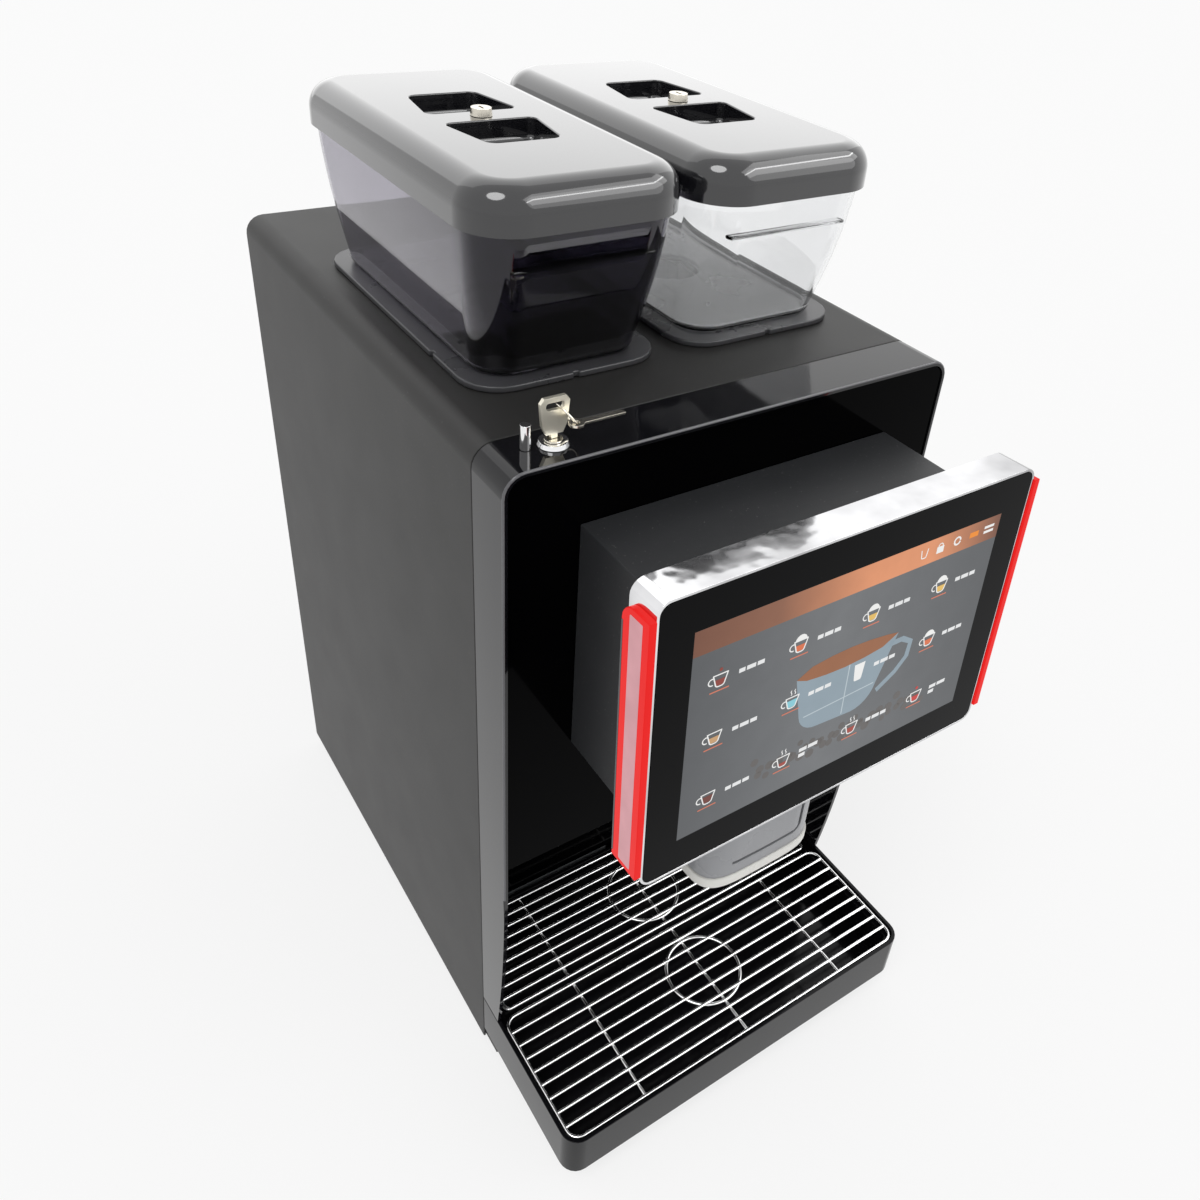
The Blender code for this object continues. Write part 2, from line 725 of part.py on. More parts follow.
def niche_liner():
    """Back, sides and ceiling of the cup space inside the cabinet."""
    low = TRAY_TOP_Z + DOOR_OVER_TRAY
    back = FACE_Y + NICHE_DEPTH
    wide = HALF_W - SHEET - FIT
    outside = block((-wide, wide), (SEAM_Y, back + NICHE_WALL), (low, NICHE_Z))
    liner = piece("niche_liner", outside, "gloss_black")
    inner_x = (NICHE_WALL - wide, wide - NICHE_WALL)
    inside = block(inner_x, (SEAM_Y - OVER, back), (low - OVER, NICHE_Z - NICHE_WALL))
    return cut(liner, inside)


def service_deck():
    """Steel shelf that carries the mill and the brewer, with the hole that the grounds fall through."""
    span_y = (SEAM_Y + DOOR_SEAM, PANEL_FRONT_Y - FIT)
    deck = piece("service_deck", block((-INNER_X, INNER_X), span_y, (DECK_Z, DECK_TOP)), "zinc_sheet")
    skirt_z = (DECK_Z - DECK_SKIRT, DECK_Z + SHEET / 2)
    weld(deck, block((-INNER_X, INNER_X), (span_y[0], span_y[0] + SHEET), skirt_z))
    hole_y = FACE_Y + BREW_Y
    chute_y = (hole_y - CHUTE_W / 4, hole_y + CHUTE_W / 2)
    return cut(deck, block(about(BREW_X, CHUTE_W), chute_y, (DECK_Z - OVER, DECK_TOP + OVER)))


# ---- hoppers -----------------------------------------------------------------------------------
def hopper_flange(name, side):
    """Moulded seat on the cabinet's top, with a throat and small locating notches in its edge."""
    centre = (side * HOPPER_X, HOPPER_CENTRE_Y)
    plate = prism(rounded(FLANGE_W, FLANGE_D, FLANGE_R, centre), TOP_Z + FIT, FLANGE_TOP)
    seat = piece(f"hopper_flange_{name}", plate, "satin_black")
    notches = []
    notch_z = (TOP_Z, FLANGE_TOP + OVER)
    for y in about(centre[1], FLANGE_D):
        notches.append(block(about(centre[0], NOTCH), about(y, NOTCH), notch_z))
    for x in about(centre[0], FLANGE_W):
        notch_y = about(centre[1] - FLANGE_D / 4, NOTCH)
        notches.append(block(about(x, NOTCH), notch_y, notch_z))
    throat = rod(THROAT_R + THROAT_WALL + RUN, TOP_Z - OVER, FLANGE_TOP + OVER, centre)
    return cut(seat, together(notches), throat)


def can_plan(height, inset, centre):
    """The canister's plan at a height above its foot, drawn in by a wall."""
    share = 1 - (1 - height / CAN_H) ** CAN_BULGE
    width = CAN_FOOT_W + CAN_TAPER_W * share - 2 * inset
    depth = CAN_FOOT_D + CAN_TAPER_D * share - 2 * inset
    radius = CAN_FOOT_R + (CAN_R - CAN_FOOT_R) * share - inset
    return rounded(width, depth, radius, centre)


def hopper_container(name, side, finish):
    """Tapered canister, open at the top, with a throat that drops through the flange."""
    x, y = side * HOPPER_X, HOPPER_CENTRE_Y
    heights = [CAN_H * step / CAN_STEPS for step in range(CAN_STEPS + 1)]
    outside = loft([(can_plan(height, 0, (x, y)), CAN_LOW + height) for height in heights])
    inner = [(can_plan(height, CAN_WALL, (x, y)), CAN_LOW + height) for height in heights[1:]]
    floor = (can_plan(CAN_WALL, CAN_WALL, (x, y)), CAN_LOW + CAN_WALL)
    mouth = (inner[-1][0], CAN_TOP + OVER)
    inside = loft([floor] + inner + [mouth])
    can = piece(f"hopper_container_{name}", outside, finish, (x, y, CAN_LOW))
    throat_low = TOP_Z - SHEET
    weld(can, rod(THROAT_R + THROAT_WALL, throat_low, CAN_LOW + CAN_WALL / 2, (x, y)))
    return cut(can, inside, rod(THROAT_R, throat_low - OVER, CAN_TOP, (x, y)))


def grip_pocket(side, direction, grow):
    """One finger recess of a lid, deepest beside the lock; grow widens it by a wall."""
    x, y = side * HOPPER_X, HOPPER_CENTRE_Y
    near = y + direction * (GRIP_GAP / 2 - grow)
    far = y + direction * (GRIP_GAP / 2 + GRIP_L + grow)
    wide, narrow = GRIP_WIDE / 2 + grow, GRIP_NARROW / 2 + grow
    outline = [(x - wide, near), (x + wide, near), (x + narrow, far), (x - narrow, far)]
    return prism(outline, LID_TOP_Z - GRIP_DEPTH - grow, LID_TOP_Z + OVER)


def hopper_lid(name, side):
    """Hollow lid with a large rounded top edge, a skirt over the canister and two finger recesses."""
    x, y = side * HOPPER_X, HOPPER_CENTRE_Y
    levels = [(rounded(LID_W, LID_D, LID_R, (x, y)), LID_LOW_Z)]
    for step in range(FILLET_STEPS + 1):
        angle = math.pi / 2 * step / FILLET_STEPS
        shrink = LID_FILLET * (1 - math.cos(angle))
        height = LID_TOP_Z - LID_FILLET + LID_FILLET * math.sin(angle)
        levels.append((rounded(LID_W - 2 * shrink, LID_D - 2 * shrink, LID_R - shrink, (x, y)), height))
    lid = piece(f"hopper_lid_{name}", loft(levels), "gloss_black", (x, y, LID_LOW_Z))
    skirt = rounded(CAN_MOUTH_W + 2 * LID_LAP, CAN_MOUTH_D + 2 * LID_LAP, CAN_R + LID_LAP, (x, y))
    cut(lid, prism(skirt, LID_LOW_Z - OVER, CAN_TOP + FIT))
    room_r = LID_R - LID_FILLET / 2
    room_w = LID_W - LID_FILLET - 2 * LID_WALL
    room = rounded(room_w, LID_D - LID_FILLET - 2 * LID_WALL, room_r, (x, y))
    hollow = prism(room, CAN_TOP, LID_TOP_Z - LID_WALL)
    walls = [grip_pocket(side, 1, LID_WALL), grip_pocket(side, -1, LID_WALL)]
    boolean_object(lid, cutter_with_islands(f"lid_room_{name}", hollow, walls, (x, y)))
    cut(lid, together([grip_pocket(side, 1, 0), grip_pocket(side, -1, 0)]))
    return cut(lid, rod(KNOB_STEM_R + RUN, LID_LOW_Z, LID_TOP_Z + OVER, (x, y), sides=20))


def cutter_with_islands(name, hollow, islands, centre):
    """A cutter that leaves the finger recesses' walls and the lock's boss standing inside the lid."""
    mesh = bpy.data.meshes.new(name)
    hollow.to_mesh(mesh)
    hollow.free()
    cell = bpy.data.objects.new(name, mesh)
    cell.hide_render = True
    cell.display_type = "WIRE"
    bpy.context.scene.collection.objects.link(cell)
    boss = rod(BOSS_R, CAN_TOP + LATCH_ROOM, LID_TOP_Z, centre, sides=20)
    for island in islands + [boss]:
        boolean(cell, island, "DIFFERENCE")
    return cell


def boolean_object(obj, helper):
    """Take a helper object away from a piece."""
    change = obj.modifiers.new("hollow", "BOOLEAN")
    change.operation = "DIFFERENCE"
    change.solver = "EXACT"
    change.object = helper


def lid_lock(name, side):
    """Turning lock: a raised head, a stem through the lid and a small latch bar under it."""
    x, y = side * HOPPER_X, HOPPER_CENTRE_Y
    head = rod(KNOB_R, LID_TOP_Z + FIT, LID_TOP_Z + KNOB_H, (x, y), sides=28, end_radius=KNOB_R * 0.92)
    lock = piece(f"lid_lock_{name}", head, "nickel", (x, y, LID_TOP_Z))
    latch_top = CAN_TOP + LATCH_ROOM - RUN
    latch_low = latch_top - LATCH_T
    stem = rod(KNOB_STEM_R, latch_low, LID_TOP_Z + KNOB_H / 2, (x, y), sides=20)
    bar = block(about(x, LATCH_L), about(y, LATCH_W), (latch_low, latch_top))
    weld(lock, stem, bar)
    slit_z = (LID_TOP_Z + KNOB_H / 2, LID_TOP_Z + KNOB_H + OVER)
    slit = block(about(x, SLIT_W), about(y, SLIT_L), slit_z)
    return cut(lock, slit)


# ---- mill, brewer and powder side --------------------------------------------------------------
def mill():
    """Grinder head under the left hopper, its burr, and the motor that stands on the deck."""
    x, y = -HOPPER_X, HOPPER_CENTRE_Y
    head = piece("grinder_head", rod(MILL_R, MILL_LOW, MILL_TOP, (x, y), sides=32), "satin_black")
    chute_y = FACE_Y + BREW_Y
    chute_z = MILL_LOW + MILL_CHUTE_R + SHEET
    weld(head, rod(MILL_CHUTE_R, chute_y + MILL_CHUTE_R, y, (x, chute_z), "y", 16))
    cut(head, rod(BURR_R + RUN, MILL_LOW + MILL_WALL, MILL_TOP + OVER, (x, y), sides=32))
    cut(head, rod(MILL_CHUTE_R - SHEET, chute_y, y, (x, chute_z), "y", 16))
    shaft_hole = rod(MILL_SHAFT_R + RUN, MILL_LOW - OVER, MILL_LOW + 2 * MILL_WALL, (x, y), sides=20)
    cut(head, shaft_hole)
    burr_low = MILL_LOW + MILL_WALL + FIT
    star = []
    for k in range(2 * BURR_TEETH):
        radius = BURR_R if k % 2 else BURR_R - BURR_TOOTH
        angle = math.pi * k / BURR_TEETH
        star.append((radius * math.cos(angle), radius * math.sin(angle)))
    low_ring = [(x + u, y + v) for u, v in star]
    high_ring = [(x + u * BURR_TAPER, y + v * BURR_TAPER) for u, v in star]
    cone = loft([(low_ring, burr_low), (high_ring, burr_low + BURR_H)])
    burr = piece("grinder_burr", cone, "stainless", (x, y, burr_low))
    motor_top = MILL_LOW - FIT
    weld(burr, rod(MILL_SHAFT_R, motor_top - SHAFT_IN, burr_low + BURR_H / 2, (x, y), sides=20))
    foot_z = (DECK_TOP + FIT, DECK_TOP + FIT + MOTOR_FOOT_T)
    foot = block(about(x, 2 * MOTOR_FOOT), about(y, 2 * MOTOR_FOOT), foot_z)
    return [head, burr, grinder_motor(foot, x, y, motor_top)]


def grinder_motor(foot, x, y, top):
    """Motor on its stand: a foot plate, a narrower stand and the round motor with the shaft's socket."""
    motor = piece("grinder_motor", rod(MOTOR_R, top - MOTOR_L, top, (x, y), sides=32), "zinc_sheet")
    stand = rod(MOTOR_R * 0.7, DECK_TOP + MOTOR_FOOT_T / 2, top - MOTOR_L + OVER, (x, y), sides=16)
    weld(motor, stand, foot)
    return cut(motor, rod(MILL_SHAFT_R + RUN, top - SHAFT_IN - RUN, top + OVER, (x, y), sides=20))


def brewer():
    """Brew chamber with its bore, and the piston that presses the coffee."""
    x, y = BREW_X, FACE_Y + BREW_Y
    low = DECK_TOP + FIT
    top = low + BREW_H
    body = block(about(x, BREW_W), about(y, BREW_D), (low, top))
    chamber = piece("brew_chamber", body, "warm_white")
    cut(chamber, rod(PISTON_R + RUN, low + BREW_FLOOR, top + OVER, (x, y), sides=32))
    drain = rod(PISTON_ROD_R, low - OVER, top, (x, y), sides=20)
    cut(chamber, drain)
    disc_low = top - PISTON_IN
    disc = rod(PISTON_R, disc_low, disc_low + PISTON_T, (x, y), sides=32)
    piston = piece("brew_piston", disc, "stainless", (x, y, top))
    weld(piston, rod(PISTON_ROD_R, disc_low + PISTON_T / 2, disc_low + PISTON_ROD_L, (x, y), sides=20))
    return [chamber, piston]


def twisted_screw(centre, start, length):
    """A flat blade twisted about the Y axis, as a feed screw is."""
    turns = length / AUGER_PITCH
    steps = int(turns * SCREW_STEPS)
    half_blade = [(-AUGER_R, -BLADE_T), (0, -AUGER_SHAFT_R), (AUGER_R, -BLADE_T)]
    blade = half_blade + [(-u, -v) for u, v in half_blade]
    levels = []
    for step in range(steps + 1):
        angle = 2 * math.pi * turns * step / steps
        c, s = math.cos(angle), math.sin(angle)
        levels.append(([(u * c - v * s, u * s + v * c) for u, v in blade], length * step / steps))
    screw = loft(levels)
    screw.transform(Matrix.Rotation(-math.pi / 2, 4, "X"))
    return moved(screw, Matrix.Translation((centre[0], start, centre[1])))


def powder_feed():
    """Tube and drive under the right hopper, with the screw that carries the powder forward."""
    x, z = HOPPER_X, AUGER_Z
    end = AUGER_END_Y + AUGER_L + SHEET
    outer = AUGER_R + RUN + AUGER_WALL
    housing = piece("powder_feeder", rod(outer, AUGER_END_Y, end, (x, z), "y", 28), "food_grey")
    under_top = TOP_Z - SHEET - FIT
    funnel = block(about(x, 2 * THROAT_R), about(HOPPER_CENTRE_Y, 2 * THROAT_R), (z, under_top))
    drive = block(about(x, DRIVE_W), (end - SHEET, end + DRIVE_D), (z - DRIVE_W / 2, under_top))
    weld(housing, funnel, drive)
    mouth_w = 2 * (THROAT_R - SHEET)
    mouth = block(about(x, mouth_w), about(HOPPER_CENTRE_Y, mouth_w), (z, TOP_Z))
    cut(housing, rod(AUGER_R + RUN, AUGER_END_Y - OVER, end, (x, z), "y", 28), mouth)
    cut(housing, rod(AUGER_SHAFT_R + RUN, end - OVER, end + SHAFT_IN, (x, z), "y", 16))
    thread = twisted_screw((x, z), AUGER_END_Y + RUN, AUGER_L)
    screw = piece("powder_auger", thread, "warm_white", (x, AUGER_END_Y, z))
    shaft_from = AUGER_END_Y + AUGER_L - OVER
    weld(screw, rod(AUGER_SHAFT_R, shaft_from, end + SHAFT_IN - RUN, (x, z), "y", 12))
    return [housing, screw]


def mixing_unit():
    """Bowl that the powder falls into, with the whipper and the motor behind it."""
    x, y, low = HOPPER_X, FACE_Y + BOWL_Y - AUGER_R - BOWL_SHIFT, BOWL_LOW_Z
    cone = rod(BOWL_LOW_R, low, low + BOWL_H, (x, y), sides=32, end_radius=BOWL_TOP_R)
    bowl = piece("mixing_bowl", cone, "food_grey")
    chamber = (x, low - WHIP_BODY_R / 2)
    front_y, motor_y = about(y, 2 * WHIP_BODY_R)
    weld(bowl, rod(WHIP_R + RUN + BOWL_WALL, front_y, motor_y, chamber, "y", 24))
    inner_low_r, inner_top_r = BOWL_LOW_R - BOWL_WALL, BOWL_TOP_R - BOWL_WALL
    inner_z = (low - BOWL_WALL, low + BOWL_H + BOWL_WALL)
    inner = rod(inner_low_r, *inner_z, (x, y), sides=32, end_radius=inner_top_r)
    cut(bowl, inner, rod(WHIP_R + RUN, front_y + BOWL_WALL, motor_y + OVER, chamber, "y", 24))
    outlet_y = front_y + BOWL_WALL + NOZZLE_R
    cut(bowl, rod(NOZZLE_R, chamber[1] - 2 * WHIP_R, chamber[1], (x, outlet_y), sides=16))
    motor_span = (motor_y + FIT, motor_y + WHIP_MOTOR_L)
    motor = piece("whipper_motor", rod(WHIP_BODY_R, *motor_span, chamber, "y", 28), "zinc_sheet")
    weld(motor, block(about(x, WHIP_STAND), motor_span, (DECK_TOP + FIT, chamber[1])))
    cut(motor, rod(WHIP_SHAFT_R + RUN, motor_y - OVER, motor_y + SHAFT_IN, chamber, "y", 12))
    disc_y = outlet_y + NOZZLE_R
    disc = rod(WHIP_R, disc_y, disc_y + WHIP_T, chamber, "y", 20)
    whip = piece("whipper", disc, "warm_white", (x, disc_y, chamber[1]))
    vane_y = (disc_y - WHIP_T, disc_y + WHIP_T / 2)
    vane = block(about(x, 1.8 * WHIP_R), vane_y, about(chamber[1], 2 * WHIP_VANE))
    cross = block(about(x, 2 * WHIP_VANE), vane_y, about(chamber[1], 1.8 * WHIP_R))
    shaft = rod(WHIP_SHAFT_R, disc_y, motor_y + SHAFT_IN - RUN, chamber, "y", 12)
    weld(whip, vane, cross, shaft)
    return [bowl, motor, whip]


# ---- water, power and waste --------------------------------------------------------------------
def water_and_power():
    """Boiler, pump and power supply on the base pan, and the two inlets at the back."""
    floor = PAN_TOP + FIT
    boiler_centre = (BOILER_X, FACE_Y + BOILER_Y)
    boiler = piece("boiler", rod(BOILER_R, floor, floor + BOILER_H, boiler_centre, sides=36), "stainless")
    for direction in (-1, 1):
        port = (BOILER_X + direction * BOILER_R / 2, FACE_Y + BOILER_Y)
        weld(boiler, rod(PORT_R, floor + BOILER_H / 2, floor + BOILER_H + PORT_L, port, sides=12))
    pump_axis_z = floor + PUMP_R + PUMP_RAISE
    pump_y = FACE_Y + PUMP_Y
    pump = piece("pump", rod(PUMP_R, pump_y, pump_y + PUMP_L, (PUMP_X, pump_axis_z), "y", 28), "zinc_sheet")
    cradle_y = about(pump_y + PUMP_L / 2, PUMP_L / 2)
    cradle = block(about(PUMP_X, 2 * PUMP_R), cradle_y, (floor, pump_axis_z))
    weld(pump, cradle, rod(PORT_R, pump_y - PORT_L, pump_y + PORT_L, (PUMP_X, pump_axis_z), "y", 12))
    width, depth, height = SUPPLY
    x, y = SUPPLY_X, FACE_Y + SUPPLY_Y
    case = block(about(x, width), about(y, depth), (floor, floor + height))
    supply = piece("power_supply", case, "zinc_sheet")
    slots = []
    for i in range(SUPPLY_SLOTS):
        slot_z = floor + height * (i + 1) / (SUPPLY_SLOTS + 1)
        slots.append(block((x - width, x + width), (y - depth / 3, y + depth / 3), (slot_z, slot_z + OVER)))
    for slot in slots:
        cut(supply, side_slot(slot, x, width))
    z = BASE_Z + INLET_Z
    recess = PANEL_FRONT_Y - POCKET_D + SHEET
    nut_y = (recess - SHEET - WATER_HEX_T, recess - SHEET - FIT)
    stem = rod(WATER_BODY_R, nut_y[0], recess + WATER_L, (WATER_X, z), "y", 24)
    water = piece("water_inlet", stem, "nickel")
    weld(water, rod(WATER_HEX_R, *nut_y, (WATER_X, z), "y", 6))
    cut(water, rod(WATER_BORE_R, recess - 2 * WATER_HEX_T, recess + WATER_L + OVER, (WATER_X, z), "y", 20))
    return [boiler, pump, supply, water, mains_inlet(z)]


def side_slot(slot, x, width):
    """Trim a slot cutter so that it only scores the supply's left side."""
    bmesh.ops.translate(slot, vec=(-1.5 * width + SLOT_DEPTH, 0, 0), verts=slot.verts)
    return slot


def mains_inlet(z):
    """Appliance inlet with a flange on the rear panel and a socket for a lead."""
    flange_x = (MAINS_X - MAINS_W / 2 - MAINS_LIP, MAINS_X + MAINS_W / 2 + MAINS_LIP)
    flange_z = (z - MAINS_H / 2 - MAINS_LIP, z + MAINS_H / 2 + MAINS_LIP)
    flange = block(flange_x, (PANEL_REAR_Y + FIT, REAR_Y), flange_z)
    inlet = piece("mains_inlet", flange, "gloss_black")
    body_x = (MAINS_X - MAINS_W / 2 + FIT, MAINS_X + MAINS_W / 2 - FIT)
    body_z = (z - MAINS_H / 2 + FIT, z + MAINS_H / 2 - FIT)
    weld(inlet, block(body_x, (PANEL_FRONT_Y - MAINS_D, PANEL_REAR_Y + SHEET / 2), body_z))
    socket_x = (MAINS_X - SOCKET_W / 2, MAINS_X + SOCKET_W / 2)
    socket_z = (z - SOCKET_H / 2, z + SOCKET_H / 2)
    cut(inlet, block(socket_x, (PANEL_FRONT_Y - MAINS_D + SHEET, REAR_Y + OVER), socket_z))
    blades = []
    for dx, dz in ((-SOCKET_W / 4, 0), (0, SOCKET_H / 6), (SOCKET_W / 4, 0)):
        blade_x = (MAINS_X + dx - PRONG_T / 2, MAINS_X + dx + PRONG_T / 2)
        blade_z = (z + dz - PRONG_W / 2, z + dz + PRONG_W / 2)
        blades.append(block(blade_x, (PANEL_FRONT_Y - MAINS_D + SHEET / 2, PANEL_REAR_Y - SHEET), blade_z))
    return weld(inlet, together(blades))


def grounds_bin():
    """Open bin under the brewer, between the cup space's back wall and the boiler."""
    front = FACE_Y + NICHE_DEPTH + NICHE_WALL + FIT
    floor = PAN_TOP + FIT
    x = (BIN_X - BIN_W / 2, BIN_X + BIN_W / 2)
    bucket = piece("grounds_bin", block(x, (front, front + BIN_D), (floor, floor + BIN_H)), "food_grey")
    inner_x = (x[0] + BIN_WALL, x[1] - BIN_WALL)
    inner_y = (front + BIN_WALL, front + BIN_D - BIN_WALL)
    return cut(bucket, block(inner_x, inner_y, (floor + BIN_WALL, floor + BIN_H + OVER)))


def control_board():
    """Circuit board on standoffs in front of the rear panel."""
    rear = PANEL_FRONT_Y - FIT
    z = BASE_Z + BOARD_Z
    x = (BOARD_X - BOARD_W / 2, BOARD_X + BOARD_W / 2)
    board_y = rear - STANDOFF_L
    plate = block(x, (board_y - BOARD_T, board_y), (z, z + BOARD_H))
    board = piece("control_board", plate, "circuit_green")
    for dx in (-1, 1):
        for dz in (0.08, 0.92):
            centre = (BOARD_X + dx * BOARD_W * 0.44, z + dz * BOARD_H)
            weld(board, rod(STANDOFF_R, board_y - BOARD_T / 2, rear, centre, "y", 12))
    for share_x, share_z, width, height, depth in CHIPS:
        chip_x = about(BOARD_X + share_x * BOARD_W, width)
        chip_y = (board_y - BOARD_T - depth, board_y - BOARD_T / 2)
        weld(board, block(chip_x, chip_y, about(z + share_z * BOARD_H, height)))
    return board


def fan():
    """Exhaust fan on the rear panel."""
    x, z = FAN_X, BASE_Z + FAN_Z
    rear = PANEL_FRONT_Y - FIT
    half = FAN_SIZE / 2
    frame = block((x - half, x + half), (rear - FAN_D, rear), (z - half, z + half))
    housing = piece("fan_housing", frame, "satin_black")
    cut(housing, rod(FAN_BORE_R, rear - FAN_D - OVER, rear + OVER, (x, z), "y", 36))
    bridge = block(about(x, 2 * FAN_BORE_R + 2 * OVER), (rear - SPIDER_T, rear), about(z, 2 * SPIDER_W))
    axle = rod(FAN_AXLE_R, rear - FAN_D + 2 * SPIDER_T, rear - SPIDER_T / 2, (x, z), "y", 16)
    weld(housing, bridge, axle)
    hub_front, hub_rear = rear - FAN_D + SPIDER_T, rear - SPIDER_T - RUN
    hub = rod(FAN_HUB_R, hub_front, hub_rear, (x, z), "y", 28)
    rotor = piece("fan_rotor", hub, "satin_black", (x, hub_front, z))
    cut(rotor, rod(FAN_AXLE_R + RUN, hub_front + SPIDER_T - RUN, hub_rear + OVER, (x, z), "y", 16))
    blades = []
    for k in range(FAN_BLADES):
        blade_x = (FAN_HUB_R - OVER, FAN_TIP_R)
        blade = block(blade_x, about(0, 2 * BLADE_CHORD), about(0, 2 * BLADE_THICK))
        blade.transform(Matrix.Rotation(math.radians(BLADE_PITCH), 4, "X"))
        blade.transform(Matrix.Rotation(2 * math.pi * k / FAN_BLADES, 4, "Y"))
        blades.append(moved(blade, Matrix.Translation((x, (hub_front + hub_rear) / 2, z))))
    weld(rotor, together(blades))
    return [housing, rotor]


# ---- door --------------------------------------------------------------------------------------
def hinge_frame():
    """An empty on the door's hinge axis, which carries the door's pieces."""
    frame = bpy.data.objects.new("door_axis", None)
    frame.location = DOOR_AXIS
    bpy.context.scene.collection.objects.link(frame)
    return frame


def door_shell():
    """Moulded door frame: top and sides, whose lower edges sweep back, with its hinge corner rounded."""
    outline = arch(HALF_W, DOOR_LOW_Z, TOP_Z, EDGE_R)
    shell = piece("door_shell", prism(outline, FACE_Y, DOOR_REAR_Y, "y"), "gloss_black", DOOR_AXIS)
    inner = arch(DOOR_INNER_X, DOOR_LOW_Z - OVER, DOOR_INNER_Z, EDGE_R - DOOR_WALL)
    cut(shell, prism(inner, FACE_Y - OVER, DOOR_REAR_Y + OVER, "y"))
    top, low = BASE_Z + SIDE_SWEEP_TOP, DOOR_LOW_Z
    sweep = [(FACE_Y - OVER, top)]
    for step in range(SWEEP_STEPS + 1):
        share = step / SWEEP_STEPS
        sweep.append((FACE_Y + SIDE_SWEEP * share**2, top + (low - OVER - top) * share))
    sweep.append((FACE_Y - OVER, low - OVER))
    cut(shell, prism(sweep, -HALF_W - OVER, HALF_W + OVER, "x"))
    corner = arc(AXIS_X, AXIS_Y, HINGE_AXIS_X, 0, 90, 8)
    outer_x, outer_y = HALF_W + OVER, DOOR_REAR_Y + OVER
    corner += [(AXIS_X, outer_y), (outer_x, outer_y), (outer_x, AXIS_Y)]
    cut(shell, prism(corner, DOOR_LOW_Z - OVER, TOP_Z + OVER))
    notches = []
    for level in HINGE_Z.values():
        span = (level - KNUCKLE_L - NOTCH_ROOM, level + NOTCH_ROOM)
        notches.append(block((DOOR_INNER_X - OVER, outer_x), (AXIS_Y - HINGE_NOTCH, outer_y), span))
    cut(shell, together(notches))
    barrel = rod(BARREL_R + FIT, DOOR_INNER_Z - OVER, TOP_Z + OVER, LOCK.xy, sides=28)
    pin_hole = rod(PIN_R + RUN, DOOR_INNER_Z - OVER, TOP_Z + OVER, PIN.xy, sides=20)
    return cut(shell, barrel, pin_hole)


def front_panel():
    """Gloss panel with its lower return and the spout's guide rail."""
    half = DOOR_INNER_X - FIT
    outline = arch(half, NICHE_Z, DOOR_INNER_Z - FIT, EDGE_R - DOOR_WALL)
    panel = piece("front_panel", prism(outline, PANEL_Y, PANEL_BACK_Y, "y"), "gloss_black", DOOR_AXIS)
    shelf_y = (PANEL_BACK_Y - PANEL_T / 2, AXIS_Y)
    weld(panel, block((-half, half), shelf_y, (NICHE_Z, NICHE_Z + PANEL_T)))
    rail_z = (NICHE_Z, SPOUT_TOP_Z - SPOUT_WALL - 2 * RUN)
    rail_front = SPOUT_REAR_Y - RAIL_D
    neck_y = (rail_front + RAIL_LIP / 2, PANEL_Y + PANEL_T / 2)
    weld(panel, block(about(0, RAIL_NECK), neck_y, rail_z))
    return weld(panel, block(about(0, RAIL_W), (rail_front, rail_front + RAIL_LIP), rail_z))


def door_cover():
    """Steel inner cover of the door, with a window for the hoses."""
    half = DOOR_INNER_X - FIT
    y = AXIS_Y + COVER_BACK
    top = LOCK.z - DOOR_WALL - BARREL_L - 2 * CAM_T - COVER_DROP
    low = NICHE_Z + PANEL_T + FIT
    right = AXIS_X - KNUCKLE_R - RUN - COVER_SIDE
    sheet = block((-half, right), (y, y + SHEET), (low, top))
    cover = piece("door_cover", sheet, "zinc_sheet", DOOR_AXIS)
    lip = block((-half, right), (PANEL_BACK_Y + FIT, y + SHEET / 2), (low, low + SHEET))
    weld(cover, lip)
    window_z = (NICHE_Z + WINDOW_UP, NICHE_Z + WINDOW_UP + WINDOW_H)
    return cut(cover, block(about(0, WINDOW_W), (y - OVER, y + SHEET + OVER), window_z))


def hinges():
    """Two lift-off hinges: a knuckle with a pin on the cabinet and a barrel over it on the door."""
    made = []
    outer = HALF_W - SHEET - FIT
    for name, z in HINGE_Z.items():
        low = z - KNUCKLE_L
        knuckle = rod(KNUCKLE_R, low, z, (AXIS_X, AXIS_Y), sides=20)
        leaf = piece(f"cabinet_hinge_{name}", knuckle, "zinc_sheet")
        arm_x = (AXIS_X, AXIS_X + KNUCKLE_R - RUN)
        arm = block(arm_x, (AXIS_Y, SEAM_Y + LEAF_T), (low, z))
        elbow = block((AXIS_X, outer), (SEAM_Y + RUN, SEAM_Y + RUN + LEAF_T), (low, z))
        plate = block((outer - LEAF_T, outer), (SEAM_Y + RUN, SEAM_Y + LEAF_D), (low, z))
        pin = rod(HINGE_PIN_R, z - KNUCKLE_L / 2, z + KNUCKLE_L, (AXIS_X, AXIS_Y), sides=16)
        weld(leaf, arm, elbow, plate, pin)
        made.append(leaf)
        top = z + FIT + KNUCKLE_L
        barrel = rod(KNUCKLE_R, z + FIT, top, (AXIS_X, AXIS_Y), sides=20)
        door_leaf = piece(f"door_hinge_{name}", barrel, "zinc_sheet", (AXIS_X, AXIS_Y, z))
        inner = DOOR_INNER_X - FIT
        wing = block((inner - LEAF_T, inner), (AXIS_Y - LEAF_D, AXIS_Y), (z + FIT, top))
        weld(door_leaf, wing)
        cut(door_leaf, rod(HINGE_PIN_R + FIT, z - OVER, top + OVER, (AXIS_X, AXIS_Y), sides=16))
        made.append(door_leaf)
    return made


# ---- display -----------------------------------------------------------------------------------
def head_plane_y(z, behind):
    """Y of the display head's leaning plane at a height, a distance behind its front face."""
    return HEAD_CENTRE.y + behind / math.cos(GLASS_LEAN) + (z - HEAD_CENTRE.z) * math.tan(GLASS_LEAN)


